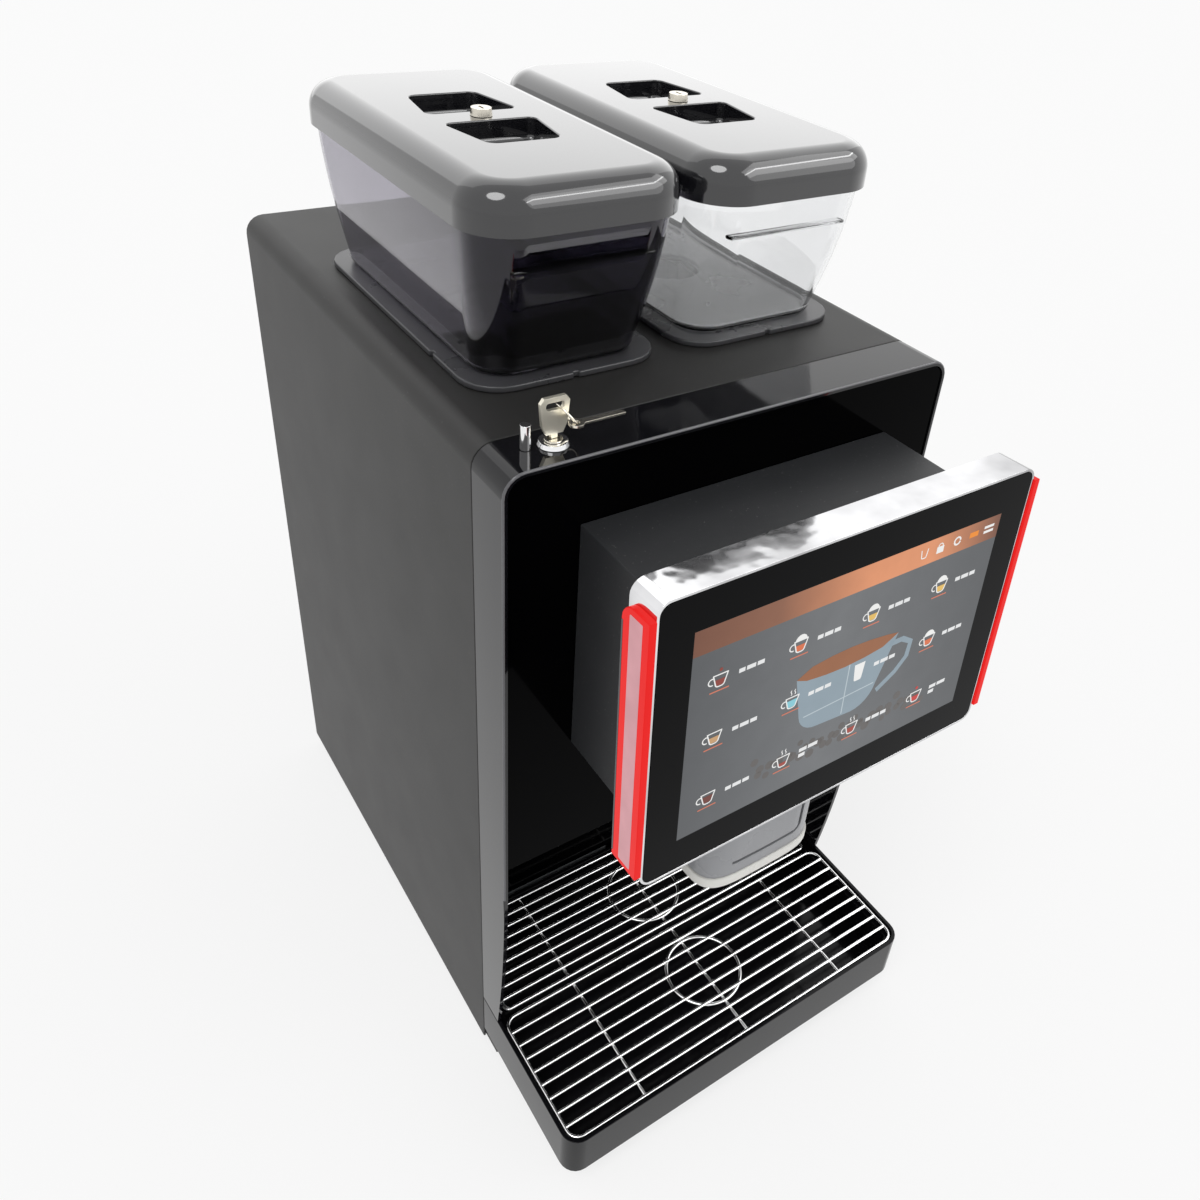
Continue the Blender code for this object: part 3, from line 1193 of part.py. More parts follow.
def display_box():
    """Hollow arm between the door and the display, with the flange that closes the rim's back."""
    z0, z1 = BOX_LOW_Z, BOX_HIGH_Z
    back = PANEL_Y - FIT
    depth = HEAD_D + FIT + BACK_FLANGE / 2
    outline = [(back, z0), (back, z1), (head_plane_y(z1, depth), z1), (head_plane_y(z0, depth), z0)]
    arm = prism(outline, *about(0, BOX_W), "x")
    box = piece("display_box", arm, "powder_coat", (AXIS_X, AXIS_Y, z0))
    flange = rounded(GLASS_W - 2 * RIM, GLASS_H - 2 * RIM, RIM_R - RIM, steps=4)
    flange_shape = prism(flange, HEAD_D + FIT, HEAD_D + FIT + BACK_FLANGE, "y")
    weld(box, moved(flange_shape, LEAN))
    z2, z3 = z0 + SHEET, z1 - SHEET
    ahead = HEAD_D - OVER
    hollow = [(back - SHEET, z2), (back - SHEET, z3)]
    hollow += [(head_plane_y(z, ahead), z) for z in (z3, z2)]
    cut(box, prism(hollow, *about(0, BOX_W - 2 * SHEET), "x"))
    hose = rod(CABLE_R, back - 2 * SHEET, back + OVER, (0, (z0 + z1) / 2), "y", 20)
    return cut(box, hose)


def display_head():
    """Polished rim with the glass in its rebate and the screen module behind the glass."""
    rim_outline = rounded(GLASS_W + 2 * RIM, GLASS_H + 2 * RIM, RIM_R, steps=6)
    frame = moved(prism(rim_outline, 0, HEAD_D, "y"), LEAN)
    rim = piece("display_bezel", frame, "bright_chrome", HEAD_CENTRE)
    rebate = rounded(GLASS_W + 2 * FIT, GLASS_H + 2 * FIT, RIM_R - RIM, steps=6)
    window = rounded(GLASS_W - 2 * RIM_LEDGE, GLASS_H - 2 * RIM_LEDGE, RIM_R - RIM, steps=3)
    cut(rim, moved(prism(rebate, -OVER, GLASS_T + FIT, "y"), LEAN))
    cut(rim, moved(prism(window, 0, HEAD_D + OVER, "y"), LEAN))
    pane_outline = rounded(GLASS_W, GLASS_H, RIM_R - RIM - FIT, steps=6)
    sheet = moved(prism(pane_outline, 0, GLASS_T, "y"), LEAN)
    pane = piece("touch_glass", sheet, "touch_glass", HEAD_CENTRE)
    screen = block(about(0, LCD_W), (GLASS_T + FIT, GLASS_T + FIT + LCD_T), about(0, LCD_H))
    lcd = piece("lcd_panel", moved(screen, LEAN), "lcd", HEAD_CENTRE)
    return [rim, pane, lcd]


def light_bar(name, side):
    """Translucent bar along the display's side, rounded at its upper rear corner."""
    front, rear = -BAR_PROUD, HEAD_D - BAR_PROUD
    corner = arc(rear - BAR_CORNER, BAR_HIGH - BAR_CORNER, BAR_CORNER, 0, 90, 6)
    outline = [(front, BAR_LOW), (rear, BAR_LOW)] + corner + [(front, BAR_HIGH)]
    inner = GLASS_W / 2 + RIM + FIT
    span = sorted((side * inner, side * (inner + BAR_T)))
    bar = moved(prism(outline, *span, "x"), LEAN)
    return piece(f"light_bar_{name}", bar, "light_red", HEAD_CENTRE)


# ---- lock, key and release pin -----------------------------------------------------------------
def lock():
    """Lock body in the door's top, its turning plug with the hooked cam, and the keys."""
    centre = LOCK.xy
    body_low = DOOR_INNER_Z - BARREL_L
    collar = rod(COLLAR_R, TOP_Z + FIT, TOP_Z + FIT + COLLAR_H, centre, sides=32, end_radius=COLLAR_R * 0.9)
    body = piece("lock_body", collar, "bright_chrome", LOCK)
    weld(body, rod(BARREL_R, body_low, TOP_Z + COLLAR_H / 2, centre, sides=28))
    cut(body, rod(PLUG_R + RUN, body_low - OVER, TOP_Z + 2 * COLLAR_H, centre, sides=28))
    plug_top = TOP_Z + PLUG_PROUD
    barrel = rod(PLUG_R, body_low - CAM_T, plug_top, centre, sides=28)
    plug = piece("lock_plug", barrel, "nickel", LOCK)
    cam_z = (body_low - CAM_T - RUN, body_low - RUN)
    outline = arc(*centre, CAM_REACH, CAM_FROM, CAM_TO, 8)
    outline += arc(*centre, CAM_REACH - CAM_BAND, CAM_TO, CAM_FROM, 8)
    arm = block((0, CAM_REACH - CAM_BAND / 2), about(0, CAM_BAND), cam_z)
    arm.transform(Matrix.Rotation(math.radians(CAM_FROM + ARM_TURN), 4, "Z"))
    arm.transform(Matrix.Translation((*centre, 0)))
    weld(plug, prism(outline, *cam_z), arm)
    slot_x, slot_y = about(centre[0], BLADE_W + 2 * FIT), about(centre[1], BOW_T + 2 * FIT)
    cut(plug, block(slot_x, slot_y, (plug_top - BLADE_IN, plug_top + OVER)))
    return [body, plug] + keys(plug_top)


def keys(plug_top):
    """The key in the lock, its split ring and the spare key on the ring."""
    x, y = LOCK.x, LOCK.y
    low = plug_top + STEM_L
    high = low + BOW_H
    half, shoulder = BOW_W / 2, low + BOW_H / 4
    right = [(BOW_NECK / 2, low), (half, shoulder), (half, high - BOW_CUT), (half - BOW_CUT, high)]
    outline = [(x + u, z) for u, z in right] + [(x - u, z) for u, z in reversed(right)]
    key = piece("key", prism(outline, *about(y, BOW_T), "y"), "nickel", (x, y, high))
    blade_z = (plug_top - BLADE_IN + FIT, low + BOW_H / 8)
    weld(key, block(about(x, BLADE_W), about(y, BOW_T - 2 * FIT), blade_z))
    slot_z = high - BOW_CUT - KEY_SLOT_H / 2
    slot = rounded(KEY_SLOT_W, KEY_SLOT_H, KEY_SLOT_H / 2 - FIT, (x, slot_z), 4)
    cut(key, prism(slot, y - BOW_T, y + BOW_T, "y"))
    hook = Vector((x + KEY_SLOT_W / 4, y, slot_z - KEY_SLOT_H / 2 + RING_WIRE + RING_SLACK))
    hang = Vector((math.sin(RING_HANG), 0, -math.cos(RING_HANG)))
    centre = hook + RING_R * hang
    across = Vector((0, 1, 0))
    frame = Matrix.Translation(centre) @ Matrix((hang, across, hang.cross(across))).transposed().to_4x4()
    ring = piece("key_ring", hoop(RING_R, RING_WIRE, frame), "nickel", hook)
    hole = centre - RING_R * across
    spare_z = (hole.z - SPARE_T / 2, hole.z + SPARE_T / 2)
    head = rod(SPARE_HEAD_R, *spare_z, hole.xy, sides=20)
    spare = piece("spare_key", head, "nickel", hook)
    shank_x = (hole.x + SPARE_HEAD_R / 2, hole.x + SPARE_L)
    weld(spare, block(shank_x, about(hole.y, SPARE_W / 2), spare_z))
    cut(spare, rod(SPARE_HOLE_R, spare_z[0] - OVER, spare_z[1] + OVER, hole.xy, sides=16))
    return [key, ring, spare]


def release_pin():
    """Sprung push pin in the door's top."""
    shaft = rod(PIN_R, DOOR_INNER_Z - PIN_DOWN, TOP_Z + PIN_UP, PIN.xy, sides=20)
    pin = piece("release_pin", shaft, "bright_chrome", PIN)
    collar_z = (DOOR_INNER_Z - PIN_COLLAR_T - FIT, DOOR_INNER_Z - FIT)
    return weld(pin, rod(PIN_R + PIN_COLLAR, *collar_z, PIN.xy, sides=20))


# ---- spout -------------------------------------------------------------------------------------
def spout():
    """Sliding spout hood with a bowed front, and the twin outlet inside it."""
    low, high = SPOUT_LOW_Z, SPOUT_TOP_Z
    plan = spout_plan(0)
    hood = piece("spout_housing", prism(plan, low, high), "spout_grey", (0, SPOUT_REAR_Y, low))
    hollow = prism(spout_plan(SPOUT_WALL), low - OVER, high - SPOUT_WALL)
    rail_front = SPOUT_REAR_Y - RAIL_D
    slot_z = (low - OVER, high + OVER)
    neck_y = (rail_front + RAIL_LIP / 2, SPOUT_REAR_Y + OVER)
    neck = block(about(0, RAIL_NECK + 2 * RUN), neck_y, slot_z)
    head_y = (rail_front - RUN, rail_front + RAIL_LIP + RUN)
    head = block(about(0, RAIL_W + 2 * RUN), head_y, slot_z)
    cut(hood, hollow, neck, head)
    y = FACE_Y - NOZZLE_Y
    inner = SPOUT_W / 2 - SPOUT_WALL - FIT
    top = low + OUTLET_UP
    bar = block((-inner, inner), about(y, 2 * (NOZZLE_R + OVER)), (top - OUTLET_T, top))
    outlet = piece("twin_outlet", bar, "satin_black", (0, SPOUT_REAR_Y, low))
    for side in SIDES.values():
        centre = (side * NOZZLE_X, y)
        weld(outlet, rod(NOZZLE_R, low + OVER, top - OUTLET_T / 2, centre, sides=20))
    bores = []
    for side in SIDES.values():
        bores.append(rod(NOZZLE_BORE, low - OVER, top + OVER, (side * NOZZLE_X, y), sides=16))
    return [hood, cut(outlet, together(bores))]


def spout_plan(inset):
    """The hood's plan, drawn in by a wall, with a thicker wall along the rail."""
    half = SPOUT_W / 2 - inset
    flat = FACE_Y - SPOUT_FLAT
    bow = SPOUT_REACH - SPOUT_FLAT - inset
    rear = SPOUT_REAR_Y - (SPOUT_BACK if inset else 0)
    front = []
    for step in range(BOW_STEPS + 1):
        angle = math.pi * (1 + step / BOW_STEPS)
        front.append((half * math.cos(angle), flat + bow * math.sin(angle)))
    return [(half, rear), (-half, rear)] + front


# ---- drip tray and grilles ---------------------------------------------------------------------
def drip_tray():
    """Tray with a narrower part inside the cabinet and a ledge all round for the grilles."""
    front, step, rear = tray_lines(0)
    outside = prism(stepped_plan(0, front, step, rear), BASE_Z + TRAY_LOW, TRAY_TOP_Z)
    tray = piece("drip_tray", outside, "gloss_black")
    ledge_z = GRILLE_Z - CROSS_SINK - FIT
    upper = stepped_plan(-TRAY_WALL, *tray_lines(TRAY_WALL))
    lower_wall = TRAY_WALL + TRAY_LEDGE
    lower = stepped_plan(-lower_wall, *tray_lines(lower_wall))
    cut(tray, prism(upper, ledge_z, TRAY_TOP_Z + OVER))
    return cut(tray, prism(lower, BASE_Z + TRAY_LOW + TRAY_FLOOR, ledge_z + OVER))


def tray_lines(wall):
    """Front, step and rear planes of the tray, drawn in by a wall."""
    front = FACE_Y - TRAY_REACH + wall
    step = SEAM_Y - DOOR_SEAM - wall
    rear = FACE_Y + NICHE_DEPTH - TRAY_REAR_GAP - wall
    return front, step, rear


def grille(name, first_y, last_y, half_x, ring_y):
    """Long bars on three cross wires, with a square frame and a cup ring, all of one wire size."""
    z = (GRILLE_Z, GRILLE_Z + WIRE)
    half = WIRE / 2
    pitch = (last_y - first_y) / (BARS - 1)
    bars = []
    for i in range(BARS):
        y = first_y + i * pitch
        bars.append(block((-half_x + half, half_x - half), (y - half, y + half), z))
    low_z = (GRILLE_Z - CROSS_SINK, GRILLE_Z + WIRE - CROSS_SINK)
    rack = piece(name, together(bars), "bright_chrome", (0, (first_y + last_y) / 2, GRILLE_Z))
    cross = []
    for x in (-half_x + half, -CROSS_X, 0, CROSS_X, half_x - half):
        cross.append(block((x - half, x + half), (first_y - half, last_y + half), low_z))
    weld(rack, together(cross))
    centre = Matrix.Translation((0, ring_y, GRILLE_Z + half))
    outer = CUP_RING_R + half
    inner = CUP_RING_R - half
    return weld(rack, flat_ring(outer, inner, centre))


def flat_ring(outer, inner, centre):
    """A square-section ring for the cup's place."""
    points = arc(0, 0, outer, 0, 360, RING_SIDES)[:-1]
    shape = bmesh.new()
    rings = []
    for radius_points in (points, [(u * inner / outer, v * inner / outer) for u, v in points]):
        for z in (-RING_SINK, WIRE / 2):
            rings.append([shape.verts.new((u, v, z)) for u, v in radius_points])
    order = [rings[0], rings[1], rings[3], rings[2]]
    for this, after in zip(order, order[1:] + order[:1]):
        for i in range(RING_SIDES):
            j = (i + 1) % RING_SIDES
            shape.faces.new((this[i], this[j], after[j], after[i]))
    return moved(shape, centre)


def grilles():
    """The front grille outside the door line and the rear grille in the cup space."""
    inner_x = HALF_W - TRAY_WALL - RUN
    narrow_x = HALF_W - TRAY_NARROW - TRAY_WALL - RUN
    half = WIRE / 2
    front_y = FACE_Y - TRAY_REACH + TRAY_WALL + RUN + half
    front_end = FACE_Y + GRILLE_SPLIT - GRILLE_GAP / 2 - half
    rear_start = FACE_Y + GRILLE_SPLIT + GRILLE_GAP / 2 + half
    rear_end = FACE_Y + NICHE_DEPTH - TRAY_REAR_GAP - TRAY_WALL - RUN - half
    front = grille("grille_front", front_y, front_end, inner_x, FACE_Y + FRONT_RING_Y)
    rear = grille("grille_rear", rear_start, rear_end, narrow_x, FACE_Y + REAR_RING_Y)
    tray_inside = stepped_plan(-TRAY_WALL - RUN, front_y - half, SEAM_Y, REAR_Y)
    boolean(front, prism(tray_inside, BASE_Z, TOP_Z), "INTERSECT")
    return [front, rear]


def main():
    """Model every piece, and hang the door's pieces on the empty at its hinge."""
    clear_scene()
    cabinet_wrap()
    rear_panel()
    base_pan()
    feet()
    niche_liner()
    service_deck()
    cans = {"left": "smoked_clear", "right": "water_clear"}
    for name, side in SIDES.items():
        hopper_flange(name, side)
        hopper_container(name, side, cans[name])
        hopper_lid(name, side)
        lid_lock(name, side)
    mill()
    brewer()
    powder_feed()
    mixing_unit()
    water_and_power()
    grounds_bin()
    control_board()
    fan()
    door_pieces = [door_shell(), front_panel(), door_cover(), display_box()]
    door_pieces += display_head() + [light_bar(name, side) for name, side in SIDES.items()]
    door_pieces += lock() + [release_pin()] + spout()
    axis = hinge_frame()
    door_pieces += [leaf for leaf in hinges() if leaf.name.startswith("door_")]
    bpy.context.view_layer.update()
    for obj in door_pieces:
        obj.parent = axis
        obj.matrix_parent_inverse = axis.matrix_world.inverted()
    drip_tray()
    grilles()


if __name__ == "__main__":
    main()
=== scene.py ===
"""Looks of a table-top hot coffee machine: cabinet, canisters, screen door, spout and drip tray."""

import json
import logging
import math
from collections.abc import Iterable
from dataclasses import dataclass
from enum import Enum

import bmesh
import bpy
from mathutils import Matrix, Vector


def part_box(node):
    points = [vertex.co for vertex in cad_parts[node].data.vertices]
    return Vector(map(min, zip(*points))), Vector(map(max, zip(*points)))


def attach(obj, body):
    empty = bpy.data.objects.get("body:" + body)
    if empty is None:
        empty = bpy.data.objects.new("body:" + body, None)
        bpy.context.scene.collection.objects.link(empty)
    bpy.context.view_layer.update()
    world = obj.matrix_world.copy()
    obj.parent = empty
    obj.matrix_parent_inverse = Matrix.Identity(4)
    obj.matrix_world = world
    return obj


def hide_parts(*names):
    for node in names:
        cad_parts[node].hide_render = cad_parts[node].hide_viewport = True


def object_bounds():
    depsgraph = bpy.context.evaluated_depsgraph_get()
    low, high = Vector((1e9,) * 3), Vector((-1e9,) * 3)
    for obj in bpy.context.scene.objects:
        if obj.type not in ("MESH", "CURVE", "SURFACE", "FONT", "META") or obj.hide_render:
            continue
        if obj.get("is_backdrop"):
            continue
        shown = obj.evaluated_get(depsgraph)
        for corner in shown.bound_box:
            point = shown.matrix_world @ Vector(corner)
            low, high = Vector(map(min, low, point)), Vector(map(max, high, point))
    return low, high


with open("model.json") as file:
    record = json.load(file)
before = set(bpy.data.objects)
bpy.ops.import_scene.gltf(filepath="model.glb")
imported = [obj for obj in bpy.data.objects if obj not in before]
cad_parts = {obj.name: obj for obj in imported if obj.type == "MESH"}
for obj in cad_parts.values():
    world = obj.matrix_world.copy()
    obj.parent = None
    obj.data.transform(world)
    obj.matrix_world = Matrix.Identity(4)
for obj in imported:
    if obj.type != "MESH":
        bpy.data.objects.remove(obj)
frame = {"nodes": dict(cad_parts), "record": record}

LOG = logging.getLogger("coffee_machine")

Colour = tuple[float, float, float]
Point = tuple[float, float, float]
Span = tuple[float, float]
Outline = list[Span]
Socket = bpy.types.NodeSocket
Form = bmesh.types.BMesh
Edge = bmesh.types.BMEdge
Face = bmesh.types.BMFace

# Noise patterns: features per metre and octaves.
TONE_NOISE = (14, 4)
SMUDGE_NOISE = (23, 5)
DUST_NOISE = (850, 1)
TINT_NOISE = (9, 2)
HAZE_NOISE = (40, 5)
WAVE_NOISE = (7, 1)
CLOUD_NOISE = (60, 3)
BOARD_NOISE = (30, 2)
# The noise levels that a change is spread between.
MIDDLE_BAND = (0.3, 0.7)
DUST_BAND = (0.745, 0.80)
HAZE_BAND = (0.45, 0.8)
CLOUD_BAND = (0.35, 0.65)
TRACK_BAND = (0.02, 0.06)
DUST_COLOUR = (0.45, 0.44, 0.42)
TRACK_COLOUR = (0.16, 0.42, 0.2)
# How much of a colour is left where it is darkest.
TINT_LEFT = 0.97
CLOUD_LEFT = 0.5
BOARD_LEFT = 0.8
# Strength and depth of a raised pattern.
WAVE_RAISE = (0.12, 0.002)
TRACK_RAISE = (0.3, 0.0002)
TRACK_CELLS = 120
BOARD_COAT = 0.4
COAT_ROUGHNESS = 0.05
BRUSH_STRETCH = 40
BRUSH_OCTAVES = 4
CAST_OCTAVES = 8
PEBBLE_OCTAVES = 2

MERGE_NEAR = 1e-6
CAD_MERGE_NEAR = 2e-6
LOOP_MERGE_NEAR = 2e-5
FLAT_ANGLE = math.radians(0.4)
SHARP_FOLD = 0.6  # radians between two faces, past which their edge is rounded
HOOP_STEPS = 56
OVER = 0.01  # how far a cutting form reaches past the stock
MOULDED_SHARP = 40.0  # degrees between two faces of a moulding, past which their edge is sharp


# ---- finishes ------------------------------------------------------------------------------------
class Grain(Enum):
    """The small-scale pattern that a finish carries."""

    PEBBLE = "pebble"
    BRUSHED = "brushed"
    SPANGLE = "spangle"
    CAST = "cast"
    CLEAN = "clean"


class Graph:
    """A material's node tree, with short calls to add and join nodes."""

    def __init__(self, name: str) -> None:
        """Start an empty tree that holds one Principled shader.

        Args:
            name: The material's name.
        """
        self.material = bpy.data.materials.new(name)
        self.material.use_nodes = True
        self.tree = self.material.node_tree
        self.tree.nodes.clear()
        self.output = self.tree.nodes.new("ShaderNodeOutputMaterial")
        self.shader = self.tree.nodes.new("ShaderNodeBsdfPrincipled")
        self.join(self.shader.outputs[0], self.output.inputs["Surface"])
        self.place = self.tree.nodes.new("ShaderNodeTexCoord").outputs["Object"]

    def join(self, source: Socket, target: Socket) -> None:
        """Link one socket to another."""
        self.tree.links.new(source, target)

    def set(self, **values: float | tuple) -> None:
        """Set plain values on the shader's sockets.

        Args:
            values: Each socket's value, under its name with underscores for spaces.
        """
        for name, value in values.items():
            socket = self.shader.inputs[name.replace("_", " ")]
            socket.default_value = (*value, 1) if isinstance(value, tuple) else value

    def stretched(self, scale: Point) -> Socket:
        """Object coordinates, scaled along each axis.

        Args:
            scale: The scales.

        Returns:
            The scaled coordinates.
        """
        node = self.tree.nodes.new("ShaderNodeMapping")
        node.inputs["Scale"].default_value = scale
        self.join(self.place, node.inputs["Vector"])
        return node.outputs[0]

    def noise(self, scale: float, detail: float, where: Socket | None = None) -> Socket:
        """Noise from 0 to 1.

        Args:
            scale: Features per metre.
            detail: Octaves.
            where: Coordinates, or None for object coordinates.

        Returns:
            The noise value.
        """
        node = self.tree.nodes.new("ShaderNodeTexNoise")
        node.inputs["Scale"].default_value = scale
        node.inputs["Detail"].default_value = detail
        self.join(where or self.place, node.inputs["Vector"])
        return node.outputs["Fac"]

    def cells(self, scale: float, edges: bool = False) -> Socket:
        """Voronoi cells.

        Args:
            scale: Cells per metre.
            edges: Whether to give the distance to a cell's edge instead of its random value.

        Returns:
            The random value or the distance.
        """
        node = self.tree.nodes.new("ShaderNodeTexVoronoi")
        node.inputs["Scale"].default_value = scale
        if edges:
            node.feature = "DISTANCE_TO_EDGE"
        self.join(self.place, node.inputs["Vector"])
        return node.outputs["Distance" if edges else "Color"]

    def graded(self, value: Socket, stops: Iterable[tuple[float, Colour]]) -> Socket:
        """A colour ramp over a value.

        Args:
            value: The value from 0 to 1.
            stops: Position and colour of each stop.

        Returns:
            The colour.
        """
        node = self.tree.nodes.new("ShaderNodeValToRGB")
        ramp = node.color_ramp
        for index, (position, colour) in enumerate(stops):
            stop = ramp.elements[index] if index < 2 else ramp.elements.new(position)
            stop.position, stop.color = position, (*colour, 1)
        self.join(value, node.inputs[0])
        return node.outputs[0]

    def ranged(self, value: Socket, start: Span, end: Span) -> Socket:
        """Map a value from one range to another, clamped.

        Args:
            value: The value.
            start: The range that it is in.
            end: The range that it is mapped to.

        Returns:
            The mapped value.
        """
        node = self.tree.nodes.new("ShaderNodeMapRange")
        for socket, number in zip(node.inputs[1:5], (*start, *end)):
            socket.default_value = number
        self.join(value, node.inputs[0])
        return node.outputs[0]

    def mixed(self, amount: Socket, first: Socket, second: Colour) -> Socket:
        """Mix one colour towards another.

        Args:
            amount: How far, from 0 to 1.
            first: The colour to start from.
            second: The fixed colour to mix towards.

        Returns:
            The mixed colour.
        """
        node = self.tree.nodes.new("ShaderNodeMix")
        node.data_type = "RGBA"
        self.join(amount, node.inputs[0])
        self.join(first, node.inputs[6])
        node.inputs[7].default_value = (*second, 1)
        return node.outputs[2]

    def axis(self, name: str) -> Socket:
        """One object coordinate.

        Args:
            name: X, Y or Z.

        Returns:
            The coordinate.
        """
        node = self.tree.nodes.new("ShaderNodeSeparateXYZ")
        self.join(self.place, node.inputs[0])
        return node.outputs[name]

    def bump(self, height: Socket, strength: float, depth: float) -> None:
        """Raise the surface by a height pattern.

        Args:
            height: The pattern, from 0 to 1.
            strength: How strongly it shows.
            depth: How far it is raised, in metres.
        """
        node = self.tree.nodes.new("ShaderNodeBump")
        node.inputs["Strength"].default_value = strength
        node.inputs["Distance"].default_value = depth
        self.join(height, node.inputs["Height"])
        self.join(node.outputs[0], self.shader.inputs["Normal"])


@dataclass(frozen=True)
class Finish:
    """A surface finish: its colour, gloss and small-scale pattern."""

    name: str
    slot: str
    colour: Colour
    roughness: float
    metallic: float = 0.0
    specular: float = 0.5
    grain: Grain = Grain.CLEAN
    grain_scale: float = 900.0
    grain_depth: float = 0.0001
    grain_strength: float = 0.2
    mottle: float = 0.12
    smudge: float = 0.04
    dust: float = 0.0
    coat: float = 0.0

    def material(self) -> bpy.types.Material:
        """The finish's material, made once."""
        made = bpy.data.materials.get(self.name)
        return made or self.build()

    def build(self) -> bpy.types.Material:
        """Make the node tree.

        Returns:
            The new material.
        """
        graph = Graph(self.name)
        graph.set(Metallic=self.metallic, Specular_IOR_Level=self.specular, Coat_Weight=self.coat)
        graph.set(Coat_Roughness=COAT_ROUGHNESS)
        tone = graph.cells(self.grain_scale) if self.grain is Grain.SPANGLE else graph.noise(*TONE_NOISE)
        low = tuple(channel * (1 - self.mottle) for channel in self.colour)
        high = tuple(min(1.0, channel * (1 + self.mottle)) for channel in self.colour)
        colour = graph.graded(tone, zip(MIDDLE_BAND, (low, high)))
        if self.dust:
            specks = graph.ranged(graph.noise(*DUST_NOISE), DUST_BAND, (0, self.dust))
            colour = graph.mixed(specks, colour, DUST_COLOUR)
        graph.join(colour, graph.shader.inputs["Base Color"])
        rough = graph.ranged(graph.noise(*SMUDGE_NOISE), MIDDLE_BAND, self.gloss_range())
        graph.join(rough, graph.shader.inputs["Roughness"])
        if self.grain is not Grain.CLEAN:
            graph.bump(self.pattern(graph), self.grain_strength, self.grain_depth)
        return graph.material

    def gloss_range(self) -> Span:
        """Lowest and highest roughness."""
        return max(0.0, self.roughness - self.smudge), min(1.0, self.roughness + self.smudge)

    def pattern(self, graph: Graph) -> Socket:
        """The height pattern of this finish's grain.

        Args:
            graph: The tree that the pattern is added to.

        Returns:
            The height.
        """
        if self.grain is Grain.BRUSHED:
            lines = graph.stretched((self.grain_scale, self.grain_scale, self.grain_scale / BRUSH_STRETCH))
            return graph.noise(1, BRUSH_OCTAVES, lines)
        if self.grain is Grain.SPANGLE:
            return graph.cells(self.grain_scale, edges=True)
        octaves = CAST_OCTAVES if self.grain is Grain.CAST else PEBBLE_OCTAVES
        return graph.noise(self.grain_scale, octaves)


def dimmed(colour: Colour, left: float) -> Colour:
    """A colour with only a share of it left."""
    return tuple(channel * left for channel in colour)


@dataclass(frozen=True)
class ClearPlastic(Finish):
    """See-through moulded plastic with faint haze, whose tint may darken towards the front as painted shade.
    """

    index: float = 1.45
    # A darker tint mixed in towards the front, over a span of Y: painted shade.
    front: Colour = ()
    front_shade_span: Span = (0, 1)

    def build(self) -> bpy.types.Material:
        """Make the node tree.

        Returns:
            The new material.
        """
        graph = Graph(self.name)
        graph.set(Transmission_Weight=1.0, IOR=self.index, Specular_IOR_Level=self.specular)
        tints = self.colour, dimmed(self.colour, TINT_LEFT)
        shade = graph.graded(graph.noise(*TINT_NOISE), zip(MIDDLE_BAND, tints))
        # Mix the darker tint in towards the front: painted shade.
        if self.front:
            shade = graph.mixed(graph.ranged(graph.axis("Y"), self.front_shade_span, (1, 0)), shade, self.front)
        graph.join(shade, graph.shader.inputs["Base Color"])
        hazes = self.roughness, self.roughness + self.smudge
        haze = graph.ranged(graph.noise(*HAZE_NOISE), HAZE_BAND, hazes)
        graph.join(haze, graph.shader.inputs["Roughness"])
        graph.bump(graph.noise(*WAVE_NOISE), *WAVE_RAISE)
        return graph.material


@dataclass(frozen=True)
class Glowing(Finish):
    """A lit surface, whose colour may change along one axis."""

    stops: tuple[tuple[float, Colour], ...] = ()
    along: str = "Z"
    span: Span = (0, 1)
    glow: float = 1.0
    body: Colour = (0.01, 0.01, 0.012)

    def build(self) -> bpy.types.Material:
        """Make the node tree.

        Returns:
            The new material.
        """
        graph = Graph(self.name)
        graph.set(Base_Color=self.body, Emission_Strength=self.glow, Roughness=self.roughness)
        graph.set(Specular_IOR_Level=self.specular)
        share = graph.ranged(graph.axis(self.along), self.span, (0, 1))
        colour = graph.graded(share, self.stops or ((0, self.colour), (1, self.colour)))
        cloud = graph.ranged(graph.noise(*CLOUD_NOISE), CLOUD_BAND, (0, self.mottle))
        tinted = graph.mixed(cloud, colour, dimmed(self.colour, CLOUD_LEFT))
        graph.join(tinted, graph.shader.inputs["Emission Color"])
        return graph.material


@dataclass(frozen=True)
class CircuitBoard(Finish):
    """Green lacquer over copper tracks."""

    def build(self) -> bpy.types.Material:
        """Make the node tree.

        Returns:
            The new material.
        """
        graph = Graph(self.name)
        graph.set(Roughness=self.roughness, Coat_Weight=BOARD_COAT)
        tracks = graph.ranged(graph.cells(TRACK_CELLS, edges=True), TRACK_BAND, (1, 0))
        greens = self.colour, dimmed(self.colour, BOARD_LEFT)
        base = graph.graded(graph.noise(*BOARD_NOISE), zip(MIDDLE_BAND, greens))
        graph.join(graph.mixed(tracks, base, TRACK_COLOUR), graph.shader.inputs["Base Color"])
        graph.bump(tracks, *TRACK_RAISE)
        return graph.material


POWDER_COAT = Finish(
    "matte_charcoal_coat", "powder_coat", (0.0165, 0.016, 0.0155), 0.50, specular=0.4,
    grain=Grain.PEBBLE, grain_scale=1500, grain_depth=0.0002, grain_strength=0.3, mottle=0.015,
    smudge=0.015, dust=0.2,
)
BOX_COAT = Finish(
    "dark_satin_coat", "powder_coat", (0.022, 0.023, 0.025), 0.42, specular=0.35,
    grain=Grain.PEBBLE, grain_scale=1500, grain_depth=0.0002, grain_strength=0.25, mottle=0.03,
    smudge=0.03, dust=0.35,
)
GLOSS_BLACK = Finish(
    "gloss_black_moulding", "gloss_black", (0.006, 0.006, 0.0075), 0.06, specular=0.4, smudge=0.02
)
PANEL_BLACK = Finish(
    "deep_black_panel", "gloss_black", (0.0008, 0.0008, 0.001), 0.08, specular=0.015, smudge=0.02
)
LINER_BLACK = Finish(
    "cup_space_black", "gloss_black", (0.0008, 0.0008, 0.001), 0.10, specular=0.015, smudge=0.02
)
